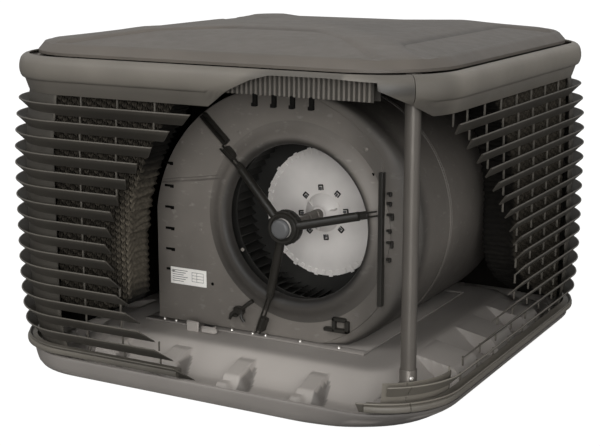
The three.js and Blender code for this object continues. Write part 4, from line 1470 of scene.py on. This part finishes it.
def make_wheel_clips():
    """Eight clips round the hub, each a dark slot with a tab in it; the slots are black plates on the disc,
    painted shade for the gaps.
    """
    y = DISC_FACE
    clips = Build()
    tabs = Build()
    for k in range(8):
        place = around_fan(7 + 45 * k)
        clips.block((54, y - 2.0, -7), (67, y, -3.6), turn=place, bevel=0.6)
        clips.block((54, y - 2.0, 3.6), (67, y, 7), turn=place, bevel=0.6)
        clips.block((64, y - 2.4, -6), (68, y, 6), turn=place, bevel=0.6)
        tabs.block((54, y - 4.2, -2.4), (62, y, 2.4), turn=place, bevel=0.8)
    clips.piece("wheel_clip_slots", "black", "fan_wheel")
    tabs.piece("wheel_clip_tabs", "motor", "fan_wheel")


def make_blade_ring():
    outer, inner, web, half = 226, 191, 150, 241
    web_y = DISC_FACE + 3.7
    build = Build()
    for inside, y0, y1 in ((inner, -half, -half + 5), (web, web_y, web_y + 5), (inner, half - 5, half)):
        profile = [(inside, y1), (outer - 1, y1), (outer, y1 - 1), (outer, y0 + 1), (outer - 1, y0),
                   (inside, y0)]
        build.turned(profile, FAN_CENTRE, sides=96)
    for k in range(WHEEL_BLADES):
        rings = []
        for t in np.linspace(0, 1, 6):
            r = inner + 1 + (outer - inner - 3) * t
            lean = rad(360 * k / WHEEL_BLADES - 9 * t - 5 * t * t)
            ring = []
            for y in (-half + 3, half - 3):
                for s in (-1, 1):
                    a = lean + s * WHEEL_BLADE_HALF_THICKNESS / r
                    ring.append((AXIS_X + r * math.cos(a), y, AXIS_Z + r * math.sin(a)))
            rings.append([ring[0], ring[1], ring[3], ring[2]])
        build.loft(rings)
    build.piece("wheel_blades", "wheel", "fan_wheel", "blade_ring")


# ------------------------------------------------------------------ posts and base
def make_posts():
    for name in ("front_right", "back_right", "back_left", "front_left"):
        low, high = box_mm(f"corner_post_{name}")
        x, y = (low[0] + high[0]) / 2, (low[1] + high[1]) / 2
        radius = (high[0] - low[0]) / 2
        post = Build()
        post.turned([(radius - 2.2, low[2]), (radius - 0.5, low[2]), (radius, low[2] + 0.5),
                     (radius, high[2] - 0.5), (radius - 0.5, high[2]), (radius - 2.2, high[2])],
                    (x, y, 0), "z", 48)
        post.piece(f"post_tube_{name}", "post", replaces=f"corner_post_{name}")
        foot_low, foot_high = box_mm(f"post_foot_{name}")
        z = foot_low[2]
        foot = Build()
        foot.turned([(0.4, z), (20, z), (21, z + 1), (21, z + 3), (19.4, z + 4.5), (18.6, z + 7),
                     (18.6, foot_high[2] - 1), (18.2, foot_high[2]), (radius + 0.4, foot_high[2]),
                     (radius + 0.4, z + 4), (0.4, z + 4)], (x, y, 0), "z", 40)
        foot.piece(f"post_socket_{name}", "post", replaces=f"post_foot_{name}")
        screw = Build()
        out = np.array((x, y)) / np.hypot(x, y)
        place = (x + out[0] * 18, y + out[1] * 18, z + 18)
        screw_head(screw, place, (out[0], out[1], 0.1), 5.5, 3.5)
        screw.piece(f"post_screw_{name}", "screw")


def make_base():
    """Sheet under the scroll, open over the duct, with its row of screws."""
    build = Build()
    x0, x1, y0, y1 = base_low[0], base_high[0], base_low[1], base_high[1]
    z0, z1 = base_low[2], base_high[2]
    for low, high in (((x0, y0, z0), (x1, -282, z1)), ((x0, 280, z0), (x1, y1, z1)),
                      ((x0, -282, z0), (-273, 280, z1)), ((86, -282, z0), (x1, 280, z1))):
        build.block(low, high, bevel=0.8)
    build.piece("scroll_seat_sheet", "tank", replaces="scroll_base_plate", painted_light_and_tone=lambda x, y, z: 0.6)
    screws = Build()
    for x in (-254, -220, -186, -58, 0, 36, 130, 232):
        screw_head(screws, (x, -297, z1), (0, 0, 1), 4.6, 4)
    screws.piece("scroll_seat_screws", "screw")


# ------------------------------------------------------------------ carried-over CAD nodes
CAD_LOOKS = {
    "galvanised": ("duct_collar",),
    "black": ("distribution_manifold", "riser_pipe", "pump_body", "pump_strainer", "drain_valve_body",
              "inlet_valve", "motor_bracket", "electronics_box", "electronics_cover", "cable_gland"),
    "pale": ("pump_impeller", "drain_plunger", "float_arm", "level_probe"),
    "duct": ("cutoff_plate",),
    "steel": ("front_bearing", "rear_bearing"),
    "motor": ("motor_body",),
}


def dress_cad_nodes():
    for look, names in CAD_LOOKS.items():
        for name in names:
            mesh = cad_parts[name].data
            mesh.materials.clear()
            mesh.materials.append(materials[look])


# ------------------------------------------------------------------ assembly
make_camera()
make_studio()
make_floor()
make_lid()
for side in SIDES:
    make_blades(side)
    make_mullions(side)
    make_band(side)
    make_rail(side)
    make_pad(side)
    make_pad_shade_core(side)
    make_distributor(side)
    make_comb(side)
make_tank()
make_tank_details()
make_base()
make_scroll_half("scroll_half_front", "scroll_front_shell", SCROLL_FRONT, SCROLL_SEAM)
make_scroll_half("scroll_half_rear", "scroll_rear_shell", SCROLL_BACK, SCROLL_SEAM + 0.4)
make_seam()
make_inlet_ring("bellmouth_front", "inlet_ring_front", SCROLL_FRONT, -1)
make_inlet_ring("bellmouth_rear", "inlet_ring_rear", SCROLL_BACK, 1)
make_face_rib()
make_face_slots()
make_face_screws()
make_label()
make_channel()
make_sensor_clip()
make_cable_holder()
make_spider()
make_hub_housing()
make_cap_and_shaft()
make_wheel_disc()
make_wheel_hub()
make_wheel_clips()
make_blade_ring()
make_posts()
dress_cad_nodes()
